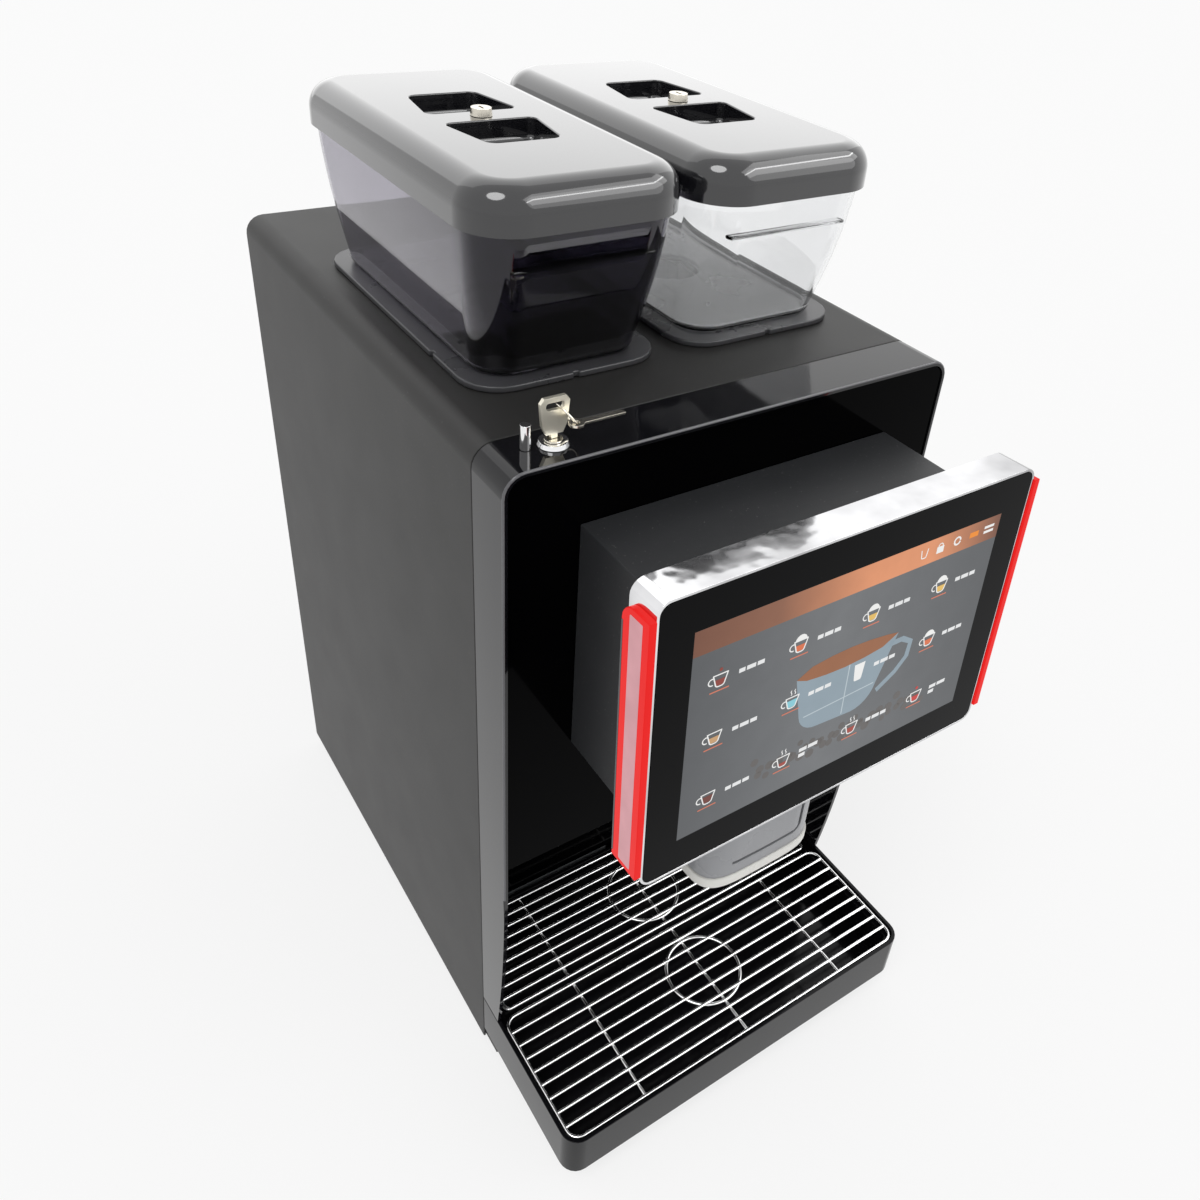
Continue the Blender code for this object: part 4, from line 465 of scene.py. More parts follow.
LID_BLACK = Finish(
    "lid_black", "gloss_black", (0.009, 0.009, 0.011), 0.10, mottle=0.03, smudge=0.02, coat=1.0
)
TRAY_BLACK = Finish(
    "tray_black", "gloss_black", (0.005, 0.005, 0.006), 0.12, specular=0.16, smudge=0.05
)
# A lighter grey for the door's rounded front edge: a painted highlight.
DOOR_EDGE_PAINTED_HIGHLIGHT = Finish("door_edge_painted_highlight", "gloss_black", (0.11, 0.11, 0.118), 0.10, smudge=0.02)
SATIN_BLACK = Finish(
    "satin_black_moulding", "satin_black", (0.030, 0.030, 0.032), 0.35, grain=Grain.PEBBLE,
    grain_scale=1100, smudge=0.05,
)
FLANGE_GREY = Finish(
    "satin_seat_moulding", "satin_black", (0.050, 0.050, 0.054), 0.30, grain=Grain.PEBBLE,
    grain_scale=1100, grain_strength=0.1, smudge=0.05,
)
CHROME = Finish(
    "polished_chrome", "bright_chrome", (0.86, 0.86, 0.87), 0.06, metallic=1.0, mottle=0.03,
    smudge=0.03,
)
WIRE_CHROME = Finish(
    "chromed_wire", "bright_chrome", (0.90, 0.90, 0.90), 0.24, metallic=1.0, mottle=0.03
)
RIM_CHROME = Finish(
    "polished_rim", "bright_chrome", (0.60, 0.60, 0.61), 0.07, metallic=1.0, mottle=0.36,
    smudge=0.03, grain=Grain.PEBBLE, grain_scale=34, grain_depth=0.003, grain_strength=0.22,
)
NICKEL = Finish(
    "brushed_nickel", "nickel", (0.74, 0.70, 0.61), 0.24, metallic=1.0, grain=Grain.BRUSHED,
    grain_scale=3000, grain_strength=0.15, mottle=0.05,
)
KEY_NICKEL = Finish(
    "worn_key_nickel", "nickel", (0.86, 0.82, 0.70), 0.36, metallic=0.9, grain=Grain.BRUSHED,
    grain_scale=3000, grain_strength=0.15, mottle=0.08,
)
ZINC = Finish(
    "zinc_plate", "zinc_sheet", (0.58, 0.59, 0.60), 0.34, metallic=1.0, grain=Grain.SPANGLE,
    grain_scale=130, grain_strength=0.08, mottle=0.08,
)
STAINLESS = Finish(
    "stainless_steel", "stainless", (0.66, 0.66, 0.67), 0.22, metallic=1.0, grain=Grain.BRUSHED,
    grain_scale=2500,
)
CAST_ALLOY = Finish(
    "bare_cast_alloy", "cast_alloy", (0.50, 0.51, 0.52), 0.42, metallic=1.0, grain=Grain.CAST,
    grain_scale=420, grain_depth=0.0004, grain_strength=0.3,
)
RUBBER = Finish("moulded_rubber", "rubber", (0.018, 0.018, 0.018), 0.75, grain=Grain.PEBBLE)
WARM_WHITE = Finish("natural_white", "warm_white", (0.72, 0.70, 0.66), 0.35, mottle=0.04)
FOOD_GREY = Finish(
    "food_safe_grey", "food_grey", (0.20, 0.215, 0.22), 0.38, grain=Grain.PEBBLE, grain_scale=1000
)
SPOUT_GREY = Finish(
    "satin_grey_hood", "spout_grey", (0.30, 0.305, 0.32), 0.28, grain=Grain.PEBBLE,
    grain_scale=1300, grain_strength=0.08, mottle=0.04,
)
SPOUT_CREAM = Finish("cream_lip", "spout_grey", (0.80, 0.79, 0.75), 0.30, mottle=0.03)
BOARD_GREEN = CircuitBoard("board_lacquer", "circuit_green", (0.02, 0.16, 0.07), 0.35)
SMOKED = ClearPlastic(
    "smoked_clear_plastic", "smoked_clear", (0.53, 0.515, 0.565), 0.01, specular=0.10, smudge=0.02,
    # The tint darkens towards the canister's front wall: painted shade.
    front=(0.05, 0.045, 0.07), front_shade_span=(-0.072, -0.050),
)
WATER_CLEAR = ClearPlastic(
    "water_clear_plastic", "water_clear", (0.96, 0.965, 0.97), 0.006, specular=0.4, smudge=0.015
)
GLASS_BLACK = Finish(
    "black_backed_glass", "touch_glass", (0.001, 0.001, 0.0013), 0.04, specular=0.05, smudge=0.02
)
SCREW_BLACK = Finish(
    "blackened_screw", "zinc_sheet", (0.10, 0.10, 0.10), 0.30, metallic=1.0, mottle=0.05
)
# Near-black for the sheet inside the spout's hood, seen through its slot: painted shade.
SLOT_PAINTED_SHADE = Finish("slot_painted_shade", "satin_black", (0.004, 0.004, 0.004), 0.6, specular=0.1)


def tint(red: int, green: int, blue: int) -> Colour:
    """The linear colour of an 8-bit sRGB triple."""
    shares = (channel / 255 for channel in (red, green, blue))
    return tuple(c / 12.92 if c <= 0.04045 else ((c + 0.055) / 1.055) ** 2.4 for c in shares)


def ink(
    name: str, colour: Colour, stops: tuple[tuple[float, Colour], ...] = (), half: float = 1.0
) -> Glowing:
    """A lit colour on the screen.

    Args:
        name: The colour's name.
        colour: The colour, where it is plain.
        stops: Its stops from the left to the right, if it isn't.
        half: Half of the width that they are spread over.

    Returns:
        The finish.
    """
    return Glowing(
        f"ink_{name}", "screen", colour, 0.05, specular=0.12, mottle=0.08, stops=stops, along="X",
        span=(-half, half),
    )


INK_WHITE = ink("white", tint(236, 236, 234))
INK_LABEL = ink("label", tint(228, 229, 229))
INK_CUP = ink("cup", tint(140, 156, 166))
INK_CUP_LINE = ink("cup_line", tint(182, 194, 200))
INK_COFFEE = ink("coffee", tint(150, 98, 66))
INK_UNDERLINE = ink("underline", tint(205, 120, 95))
INK_BATTERY = ink("battery", tint(235, 140, 40))
INK_BEANS = ink("beans", tint(99, 96, 94))
DRINK_INKS = {
    "espresso": ink("espresso", tint(112, 62, 52)),
    "mocha": ink("mocha", tint(196, 156, 112)),
    "americano": ink("americano", tint(140, 66, 56)),
    "chocolate": ink("chocolate", tint(160, 70, 58)),
    "water": ink("water", tint(135, 200, 212)),
    "orange": ink("orange", tint(214, 112, 72)),
    "yellow": ink("yellow", tint(226, 186, 98)),
    "strong": ink("strong", tint(196, 58, 52)),
}
LIGHT_RED = Glowing(
    "side_light_red", "light_red", tint(240, 34, 32), 0.2, specular=0.06, mottle=0.05, glow=0.9,
    body=(0.06, 0.001, 0.001),
)
LIGHT_CORE = Glowing(
    "side_light_core", "light_red", tint(206, 152, 158), 0.3, specular=0.06, mottle=0.2,
    body=(0.03, 0.02, 0.021),
)

# The finishes of the CAD nodes that stay as they are.
NODE_FINISH: dict[Finish, tuple[str, ...]] = {
    BOARD_GREEN: ("control_board",),
    CAST_ALLOY: ("grinder_head", "grinder_motor", "pump"),
    FOOD_GREY: ("grounds_bin", "mixing_bowl", "powder_feeder"),
    NICKEL: ("water_inlet",),
    SATIN_BLACK: ("fan_housing", "fan_rotor", "mains_inlet", "power_supply", "whipper_motor"),
    STAINLESS: ("boiler", "brew_piston", "grinder_burr"),
    WARM_WHITE: ("brew_chamber", "powder_auger", "whipper"),
    ZINC: (
        "cabinet_hinge_lower", "cabinet_hinge_upper", "door_cover", "door_hinge_lower",
        "door_hinge_upper", "service_deck",
    ),
}


# ---- forms ---------------------------------------------------------------------------------------
class Axis(Enum):
    """The direction that a form is drawn along."""

    X = 0
    Y = 1
    Z = 2


def body_of(node: str) -> str:
    """The body that a CAD node rides on."""
    bodies = frame["record"]["behaviour"]["bodies"]
    return next(name for name, nodes in bodies.items() if node in nodes)


def block(low: Iterable[float], high: Iterable[float]) -> Form:
    """A box between two corners.

    Args:
        low: The lowest corner.
        high: The highest corner.

    Returns:
        The form.
    """
    low, high = Vector(low), Vector(high)
    form = bmesh.new()
    size = Matrix.Diagonal((*(high - low), 1))
    bmesh.ops.create_cube(form, size=1, matrix=Matrix.Translation((low + high) / 2) @ size)
    return form


def round_edges(
    form: Form, edges: list[Edge], radius: float, segments: int, clamp: bool = True
) -> list[Face]:
    """Round a set of edges.

    Args:
        form: The form to change.
        edges: The edges.
        radius: The rounding's width.
        segments: Faces across each rounding.
        clamp: Whether the roundings shrink where they would meet.

    Returns:
        The new faces.
    """
    made = bmesh.ops.bevel(
        form, geom=edges, offset=radius, offset_type="OFFSET", segments=segments, profile=0.5, affect="EDGES",
        material=-1, clamp_overlap=clamp,
    )
    return made["faces"]


def edges_along(form: Form, axis: Axis) -> list[Edge]:
    """The edges that run along an axis."""
    return [e for e in form.edges if abs((e.verts[0].co - e.verts[1].co).normalized()[axis.value]) > 0.999]


def edges_at(form: Form, axis: Axis, level: float, near: float = 1e-5) -> list[Edge]:
    """The edges whose ends both lie at a level along an axis."""
    return [e for e in form.edges if all(abs(v.co[axis.value] - level) < near for v in e.verts)]


def rounded_block(
    low: Iterable[float], high: Iterable[float], corner: float, segments: int, axis: Axis = Axis.Z
) -> Form:
    """A box whose edges along one axis are rounded.

    Args:
        low: The lowest corner.
        high: The highest corner.
        corner: Radius of the rounding.
        segments: Faces in each rounding.
        axis: The axis that the rounded edges run along.

    Returns:
        The form.
    """
    form = block(low, high)
    round_edges(form, edges_along(form, axis), corner, segments)
    return form


def cylinder(radius: float, low: Point, high: Point, sides: int = 10) -> Form:
    """A round rod between two points.

    Args:
        radius: Its radius.
        low: The middle of its first end.
        high: The middle of its last end.
        sides: Faces round it.

    Returns:
        The form.
    """
    start, end = Vector(low), Vector(high)
    way = end - start
    turn = way.to_track_quat("Z", "Y").to_matrix().to_4x4()
    form = bmesh.new()
    bmesh.ops.create_cone(
        form, cap_ends=True, segments=sides, radius1=radius, radius2=radius, depth=way.length,
        matrix=Matrix.Translation((start + end) / 2) @ turn,
    )
    return form


def joined(forms: Iterable[Form]) -> Form:
    """Several forms in one mesh, each left whole.

    Args:
        forms: The forms. They are used up.

    Returns:
        The mesh.
    """
    whole = bmesh.new()
    for form in forms:
        part = bpy.data.meshes.new("part")
        form.to_mesh(part)
        form.free()
        whole.from_mesh(part)
        bpy.data.meshes.remove(part)
    return whole


def carve(form: Form, tool: Form, operation: str = "DIFFERENCE") -> Form:
    """Cut, join or intersect two closed forms.

    Args:
        form: The form to change. It is used up.
        tool: The other form. It is used up.
        operation: DIFFERENCE, UNION or INTERSECT.

    Returns:
        The result.
    """
    bodies = []
    for name, shape in (("stock", form), ("tool", tool)):
        bmesh.ops.recalc_face_normals(shape, faces=shape.faces)
        mesh = bpy.data.meshes.new(name)
        shape.to_mesh(mesh)
        shape.free()
        bodies.append(bpy.data.objects.new(name, mesh))
        bpy.context.scene.collection.objects.link(bodies[-1])
    stock, cutter = bodies
    change = stock.modifiers.new("carve", "BOOLEAN")
    change.operation, change.object, change.solver = operation, cutter, "EXACT"
    graph = bpy.context.evaluated_depsgraph_get()
    result = bmesh.new()
    result.from_mesh(stock.evaluated_get(graph).to_mesh())
    for body in bodies:
        mesh = body.data
        bpy.data.objects.remove(body)
        bpy.data.meshes.remove(mesh)
    bmesh.ops.remove_doubles(result, verts=result.verts, dist=MERGE_NEAR)
    return result


def copied(node: str) -> Form:
    """A CAD node's form, with its loose triangles merged into clean faces.

    Args:
        node: The node.

    Returns:
        The form.
    """
    form = bmesh.new()
    form.from_mesh(frame["nodes"][node].data)
    bmesh.ops.remove_doubles(form, verts=form.verts, dist=CAD_MERGE_NEAR)
    bmesh.ops.dissolve_limit(form, angle_limit=FLAT_ANGLE, verts=form.verts, edges=form.edges)
    return form


class WirePen:
    """Draws round wire: straight runs are extruded and bends are spun."""

    def __init__(self, radius: float, start: Point, heading: Point, sides: int = 10) -> None:
        """Put the pen down.

        Args:
            radius: The wire's radius.
            start: Where the wire starts.
            heading: The direction that it sets off in.
            sides: Faces round the wire.
        """
        self.form = bmesh.new()
        self.place = Vector(start)
        self.heading = Vector(heading).normalized()
        turn = self.heading.to_track_quat("Z", "Y").to_matrix().to_4x4()
        bmesh.ops.create_circle(
            self.form, cap_ends=True, segments=sides, radius=radius,
            matrix=Matrix.Translation(self.place) @ turn,
        )
        self.tip = list(self.form.edges)
        self.cap = self.form.faces[:]

    def run(self, length: float) -> "WirePen":
        """Draw a straight run.

        Args:
            length: How long it is.

        Returns:
            The pen.
        """
        made = bmesh.ops.extrude_edge_only(self.form, edges=self.tip)["geom"]
        verts = [item for item in made if isinstance(item, bmesh.types.BMVert)]
        bmesh.ops.translate(self.form, verts=verts, vec=self.heading * length)
        new_edges = (item for item in made if isinstance(item, Edge))
        self.tip = [edge for edge in new_edges if all(vert in verts for vert in edge.verts)]
        self.place = self.place + self.heading * length
        return self

    def bend(self, radius: float, axis: Point, angle: float, steps: int = 6) -> "WirePen":
        """Draw a bend.

        Args:
            radius: Radius of the wire's middle line.
            axis: The bend's axis; the wire turns about it by the right-hand rule.
            angle: The bend's angle in radians.
            steps: Faces along the bend.

        Returns:
            The pen.
        """
        spindle = Vector(axis).normalized()
        centre = self.place + spindle.cross(self.heading) * radius
        verts = list({v for e in self.tip for v in e.verts})
        made = bmesh.ops.spin(
            self.form, geom=verts + self.tip, cent=centre, axis=spindle, angle=angle, steps=steps,
            use_duplicate=False,
        )["geom_last"]
        self.tip = [item for item in made if isinstance(item, Edge)]
        turn = Matrix.Rotation(angle, 3, spindle)
        self.place = centre + turn @ (self.place - centre)
        self.heading = turn @ self.heading
        return self

    def close(self) -> Form:
        """Weld the wire's end to its start and hand the loop over.

        Returns:
            The loop's form.
        """
        bmesh.ops.delete(self.form, geom=self.cap, context="FACES_ONLY")
        bmesh.ops.remove_doubles(self.form, verts=self.form.verts, dist=LOOP_MERGE_NEAR)
        return self.form


def hoop(radius: float, wire: float, centre: Point, spindle: Point = (0, 0, 1)) -> Form:
    """A closed ring of round wire about an axis.

    Args:
        radius: Radius of the wire's middle line.
        wire: The wire's radius.
        centre: The ring's centre.
        spindle: The ring's axis.

    Returns:
        The form.
    """
    form = bmesh.new()
    upright = Matrix.Translation((radius, 0, 0)) @ Matrix.Rotation(math.pi / 2, 4, "X")
    bmesh.ops.create_circle(form, segments=10, radius=wire, matrix=upright)
    bmesh.ops.spin(
        form, geom=form.verts[:] + form.edges[:], cent=(0, 0, 0), axis=(0, 0, 1), angle=2 * math.pi,
        steps=HOOP_STEPS, use_merge=True, use_duplicate=False,
    )
    bmesh.ops.remove_doubles(form, verts=form.verts, dist=MERGE_NEAR)
    turn = Vector(spindle).to_track_quat("Z", "Y").to_matrix().to_4x4()
    form.transform(Matrix.Translation(centre) @ turn)
    return form


def outline_prism(outline: Iterable[Span], low: float, high: float, axis: Axis) -> Form:
    """An outline pushed along an axis.

    Args:
        outline: (y, z) points for X, (x, z) for Y and (x, y) for Z.
        low: The level that it starts at.
        high: The level that it ends at.
        axis: The axis.

    Returns:
        The form.
    """
    form = bmesh.new()
    corners = []
    for first, second in outline:
        spot = [first, second]
        spot.insert(axis.value, low)
        corners.append(form.verts.new(spot))
    form.faces.new(corners)
    made = bmesh.ops.extrude_face_region(form, geom=form.faces[:])["geom"]
    shift = [0.0, 0.0, 0.0]
    shift[axis.value] = high - low
    verts = [item for item in made if isinstance(item, bmesh.types.BMVert)]
    bmesh.ops.translate(form, verts=verts, vec=shift)
    bmesh.ops.recalc_face_normals(form, faces=form.faces)
    return form


def arc(centre: Span, radius: float, start: float, end: float, steps: int) -> Outline:
    """Points along an arc, with its angles in degrees."""
    angles = [math.radians(start + (end - start) * step / steps) for step in range(steps + 1)]
    return [(centre[0] + radius * math.cos(a), centre[1] + radius * math.sin(a)) for a in angles]


def ribbon(path: Outline, width: float) -> Outline:
    """The outline of a band of even width along a path.

    Args:
        path: The band's middle line.
        width: Its width.

    Returns:
        The outline.
    """
    left, right = [], []
    for index, point in enumerate(path):
        before, after = Vector(path[max(index - 1, 0)]), Vector(path[min(index + 1, len(path) - 1)])
        way = (after - before).normalized()
        side = Vector((-way.y, way.x)) * width / 2
        left.append(tuple(Vector(point) + side))
        right.append(tuple(Vector(point) - side))
    return right + left[::-1]


def plate(u: float, v: float, wide: float, tall: float) -> Outline:
    """A rectangle's outline about a centre."""
    corners_round = ((-1, -1), (1, -1), (1, 1), (-1, 1))
    return [(u + across * wide / 2, v + up * tall / 2) for across, up in corners_round]


def bowl(u: float, v: float, wide: float, tall: float, draw: float, corner: float) -> Outline:
    """A cup's outline, with rounded lower corners.

    Args:
        u: Its centre, across.
        v: Its centre, up.
        wide: Its width at the top.
        tall: Its height.
        draw: How far each side is drawn in at the foot.
        corner: The corners' radius.

    Returns:
        The outline.
    """
    half, low, high = wide / 2, v - tall / 2, v + tall / 2
    inner = half - draw - corner
    left = arc((u - inner, low + corner), corner, 180, 270, 4)
    right = arc((u + inner, low + corner), corner, 270, 360, 4)
    return [(u - half, high), *left, *right, (u + half, high)]


def make_piece(
    name: str,
    form: Form,
    finish: Finish,
    body: str,
    replaces: Iterable[str] = (),
    edge: float = 0.0,
    sharp: float = 32.0,
    edge_finish: Finish | None = None,
) -> None:
    """Turn a form into a finished piece that rides on a body.

    Args:
        name: The piece's name.
        form: The form, in the machine's own frame. It is used up.
        finish: Its finish.
        body: The body that it rides on.
        replaces: CAD nodes that it stands for.
        edge: Radius of the small rounding on its sharp edges, or 0.
        sharp: Angle in degrees above which an edge counts as sharp.
        edge_finish: The finish of the faces with material index 1, if there are any.
    """
    bmesh.ops.recalc_face_normals(form, faces=form.faces)
    mesh = bpy.data.meshes.new(name)
    form.to_mesh(mesh)
    form.free()
    mesh.shade_smooth()
    piece = bpy.data.objects.new(name, mesh)
    bpy.context.scene.collection.objects.link(piece)
    if edge:
        soft = piece.modifiers.new("soft_edges", "BEVEL")
        soft.width, soft.segments, soft.limit_method = edge, 2, "ANGLE"
        soft.angle_limit, soft.use_clamp_overlap = math.radians(sharp), True
        soft.miter_outer = "MITER_ARC"
    else:
        mesh.set_sharp_from_angle(angle=math.radians(sharp))
    shade = piece.modifiers.new("even_shade", "WEIGHTED_NORMAL")
    shade.keep_sharp = True
    mesh.materials.append(finish.material())
    if edge_finish:
        mesh.materials.append(edge_finish.material())
    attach(piece, body)
    if replaces:
        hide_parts(*replaces)
    LOG.info("%s: %d faces on %s", name, len(mesh.polygons), body)


def refine(node: str, finish: Finish, edge: float) -> None:
    """Stand a copy of a CAD node, with small roundings on its edges, in its place."""
    make_piece(f"{node}_skin", copied(node), finish, body_of(node), [node], edge)


# ---- cabinet -------------------------------------------------------------------------------------
class Side(Enum):
    """The machine's two sides: X is below zero on the left."""

    LEFT = "left"
    RIGHT = "right"


@dataclass
class Cabinet:
    """Sheet-metal cabinet with its back, base, feet and gloss cup space."""

    edge: float = 0.0006
    foot_edge: float = 0.0012
    screw: float = 0.0034
    screw_proud: float = 0.0012
    screw_edge: float = 0.0007
    screw_side: float = 0.011
    screw_levels: tuple[float, ...] = (0, 0.33, 0.66, 1)
    screw_low: float = 0.012
    screw_high: float = 0.022
    slot: Span = (0.0040, 0.0008)
    slot_depth: float = 0.0007

    def build(self) -> None:
        """Make every piece of the cabinet."""
        refine("cabinet_wrap", POWDER_COAT, self.edge)
        refine("rear_panel", POWDER_COAT, 0.0)
        refine("base_pan", POWDER_COAT, self.edge)
        refine("niche_liner", LINER_BLACK, self.edge)
        for row in ("front", "rear"):
            for side in Side:
                refine(f"foot_{row}_{side.value}", RUBBER, self.foot_edge)
        self.screws()

    def screws(self) -> None:
        """Cross-recessed screws round the back panel's edge."""
        low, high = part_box("rear_panel")
        room = high.z - low.z - self.screw_low - self.screw_high
        rows = [low.z + self.screw_low + room * share for share in self.screw_levels]
        spots = [(side * (high.x - self.screw_side), z) for side in (-1, 1) for z in rows]
        spots += [(0.0, rows[0]), (0.0, rows[-1])]
        forms = []
        for x, z in spots:
            rear = high.y + self.screw_proud
            head = cylinder(self.screw, (x, high.y - 0.0004, z), (x, rear, z), 20)
            round_edges(head, edges_at(head, Axis.Y, rear), self.screw_edge, 3)
            for wide, tall in (self.slot, self.slot[::-1]):
                near = (x - wide / 2, rear - self.slot_depth, z - tall / 2)
                head = carve(head, block(near, (x + wide / 2, rear + OVER, z + tall / 2)))
            forms.append(head)
        make_piece("rear_screws", joined(forms), SCREW_BLACK, body_of("rear_panel"))

    def dress_inside(self) -> None:
        """Give every CAD node that stays its own finish."""
        for finish, nodes in NODE_FINISH.items():
            for node in nodes:
                materials = frame["nodes"][node].data.materials
                materials.clear()
                materials.append(finish.material())


# ---- hoppers -------------------------------------------------------------------------------------
@dataclass
class Hopper:
    """One canister with its seat, lid and lid lock."""

    side: Side
    clear: Finish
    lid_fillet: float = 0.017
    lid_corner: float = 0.0325
    wall: float = 0.0025
    grip_wide: float = 0.031
    grip_narrow: float = 0.0235
    grip_near: float = 0.011
    grip_far: float = 0.059
    grip_depth: float = 0.014
    grip_corner: float = 0.006
    grip_foot: float = 0.004
    lid_wall: float = 0.0013
    lid_lip: float = 0.0009
    tub_sunk: float = 0.0006
    lock_bore: float = 0.0048
    seat_edge: float = 0.0009
    seat_gap: float = 0.0003
    draw: Span = (0.022, 0.043)
    foot_rise: float = 0.006
    foot_corner: float = 0.024
    foot_edge: float = 0.005
    levels: int = 10
    bulge: float = 1.6
    ledge_half: float = 0.046
    ledge_behind: Span = (0.0052, 0.0125)
    ledge_below: Span = (0.0285, 0.0263)
    ledge_edge: float = 0.0010
    knob_press: float = 0.62
    knob_edge: float = 0.0009

    def build(self) -> None:
        """Make every piece of the hopper."""
        self.seat()
        self.canister()
        self.lid()
        self.lock()

    def node(self, part: str) -> str:
        """The name of this side's CAD node."""
        return f"{part}_{self.side.value}"

    def seat(self) -> None:
        """The moulded seat on the cabinet's top."""
        refine(self.node("hopper_flange"), FLANGE_GREY, self.seat_edge)

    def lock(self) -> None:
        """The nickel lid lock, with its knob pressed flatter above the lid."""
        node = self.node("lid_lock")
        form = copied(node)
        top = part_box(self.node("hopper_lid"))[1].z
        for vert in form.verts:
            vert.co.z = top + (vert.co.z - top) * self.knob_press if vert.co.z > top else vert.co.z
        make_piece(f"{node}_skin", form, NICKEL, body_of(node), [node], self.knob_edge)

    def pocket(self, low: float, high: float, grow: float, direction: int, centre: Vector) -> Form:
        """A finger recess's form.

        Args:
            low: The form's lowest level.
            high: Its highest level.
            grow: How much wider than the recess it is.
            direction: 1 for the rear recess and -1 for the front one.
            centre: The lid's centre.

        Returns:
            The form.
        """
        ends = (self.grip_near - grow, self.grip_far + grow)
        near, far = sorted(centre.y + direction * end for end in ends)
        wide = self.grip_wide + grow
        form = block((centre.x - wide, near, low), (centre.x + wide, far, high))
        far_y = far if direction > 0 else near
        verts = [v for v in form.verts if abs(v.co.y - far_y) < MERGE_NEAR]
        share = (self.grip_narrow + grow) / wide
        middle = Matrix.Translation((-centre.x, 0, 0))
        bmesh.ops.scale(form, verts=verts, vec=(share, 1, 1), space=middle)
        round_edges(form, edges_along(form, Axis.Z), self.grip_corner + grow, 6)
        round_edges(form, edges_at(form, Axis.Z, low), self.grip_foot + grow, 5)
        return form

    def shell(self, low: Vector, high: Vector, inset: float) -> Form:
        """The lid's outer form, or the form of its hollow.

        Args:
            low: The lid's lowest corner.
            high: Its highest corner.
            inset: How far the form is drawn in, which is 0 for the outer form.

        Returns:
            The form.
        """
        deep = low.z - (OVER if inset else 0)
        top = high.z - inset
        near, far = (low.x + inset, low.y + inset, deep), (high.x - inset, high.y - inset, top)
        form = rounded_block(near, far, self.lid_corner - inset, 14)
        round_edges(form, edges_at(form, Axis.Z, top), self.lid_fillet - inset, 12)
        return form

    def lid(self) -> None:
        """Hollow gloss lid with two finger recesses."""
        node = self.node("hopper_lid")
        low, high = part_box(node)
        centre = (low + high) / 2
        form = carve(self.shell(low, high, 0), self.shell(low, high, self.lid_wall))
        floor, tub_top = high.z - self.grip_depth, high.z - self.tub_sunk
        for direction in (1, -1):
            tub = self.pocket(floor - self.wall, tub_top, self.wall, direction, centre)
            form = carve(form, tub, "UNION")
            form = carve(form, self.pocket(floor, high.z + OVER, 0, direction, centre))
        ends = (*centre.xy, low.z), (*centre.xy, high.z + OVER)
        form = carve(form, cylinder(self.lock_bore, *ends, 24))
        rim = [
            e for e in edges_at(form, Axis.Z, high.z)
            if len(e.link_faces) == 2 and e.calc_face_angle(0) > SHARP_FOLD
        ]
        round_edges(form, rim, self.lid_lip, 3)
        name = f"lid_{self.side.value}"
        make_piece(name, form, LID_BLACK, body_of(node), [node], sharp=MOULDED_SHARP)

    def canister(self) -> None:
        """Clear canister with bowed walls, a rolled foot and a pull ledge inside its front wall."""
        node = self.node("hopper_container")
        low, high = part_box(node)
        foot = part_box(self.node("hopper_flange"))[1].z + self.seat_gap
        centre = (low + high) / 2
        mouth = high - low
        half_w, half_d = (mouth.x - self.draw[0]) / 2, (mouth.y - self.draw[1]) / 2
        near = (centre.x - half_w, centre.y - half_d, foot)
        far = (centre.x + half_w, centre.y + half_d, foot + self.foot_rise)
        form = rounded_block(near, far, self.foot_corner, 10)
        top = next(face for face in form.faces if face.normal.z > 0.9)
        middle = Matrix.Translation((-centre.x, -centre.y, 0))
        tall = high.z - foot
        rise = tall - self.foot_rise
        steps = range(self.levels + 1)
        shares = [(self.foot_rise + rise * step / self.levels) / tall for step in steps]
        for before, after in zip(shares, shares[1:]):
            made = bmesh.ops.extrude_face_region(form, geom=[top])["geom"]
            form.faces.remove(top)
            top = next(item for item in made if isinstance(item, Face))
            scale = [
                self.flare(after, full, draw) / self.flare(before, full, draw)
                for full, draw in zip(mouth.xy, self.draw)
            ]
            bmesh.ops.scale(form, verts=top.verts, vec=(*scale, 1), space=middle)
            bmesh.ops.translate(form, verts=top.verts, vec=(0, 0, rise / self.levels))
        form.faces.remove(top)
        round_edges(form, edges_at(form, Axis.Z, foot), self.foot_edge, 5)
        bmesh.ops.recalc_face_normals(form, faces=form.faces)
        bmesh.ops.solidify(form, geom=form.faces[:], thickness=self.wall)
        name = f"canister_{self.side.value}"
        make_piece(name, form, self.clear, body_of(node), [node], sharp=MOULDED_SHARP)
        self.ledge(Vector((centre.x, low.y, high.z)))

    def flare(self, share: float, full: float, draw: float) -> float:
        """The canister's width at a share of its height."""
        return full - draw * (1 - share) ** self.bulge

    def ledge(self, front: Vector) -> None:
        """The pull ledge moulded inside the canister's front wall.

        Args:
            front: The middle of the front edge of the canister's mouth.
        """
        ends = [
            (front.x + side * self.ledge_half, front.y + behind, front.z - below)
            for side, behind, below in zip((-1, 1), self.ledge_behind, self.ledge_below)
        ]
        form = rounded_block(*ends, self.ledge_edge, 3, Axis.X)
        name, body = f"canister_ledge_{self.side.value}", body_of(self.node("hopper_container"))
        make_piece(name, form, self.clear, body, sharp=MOULDED_SHARP)


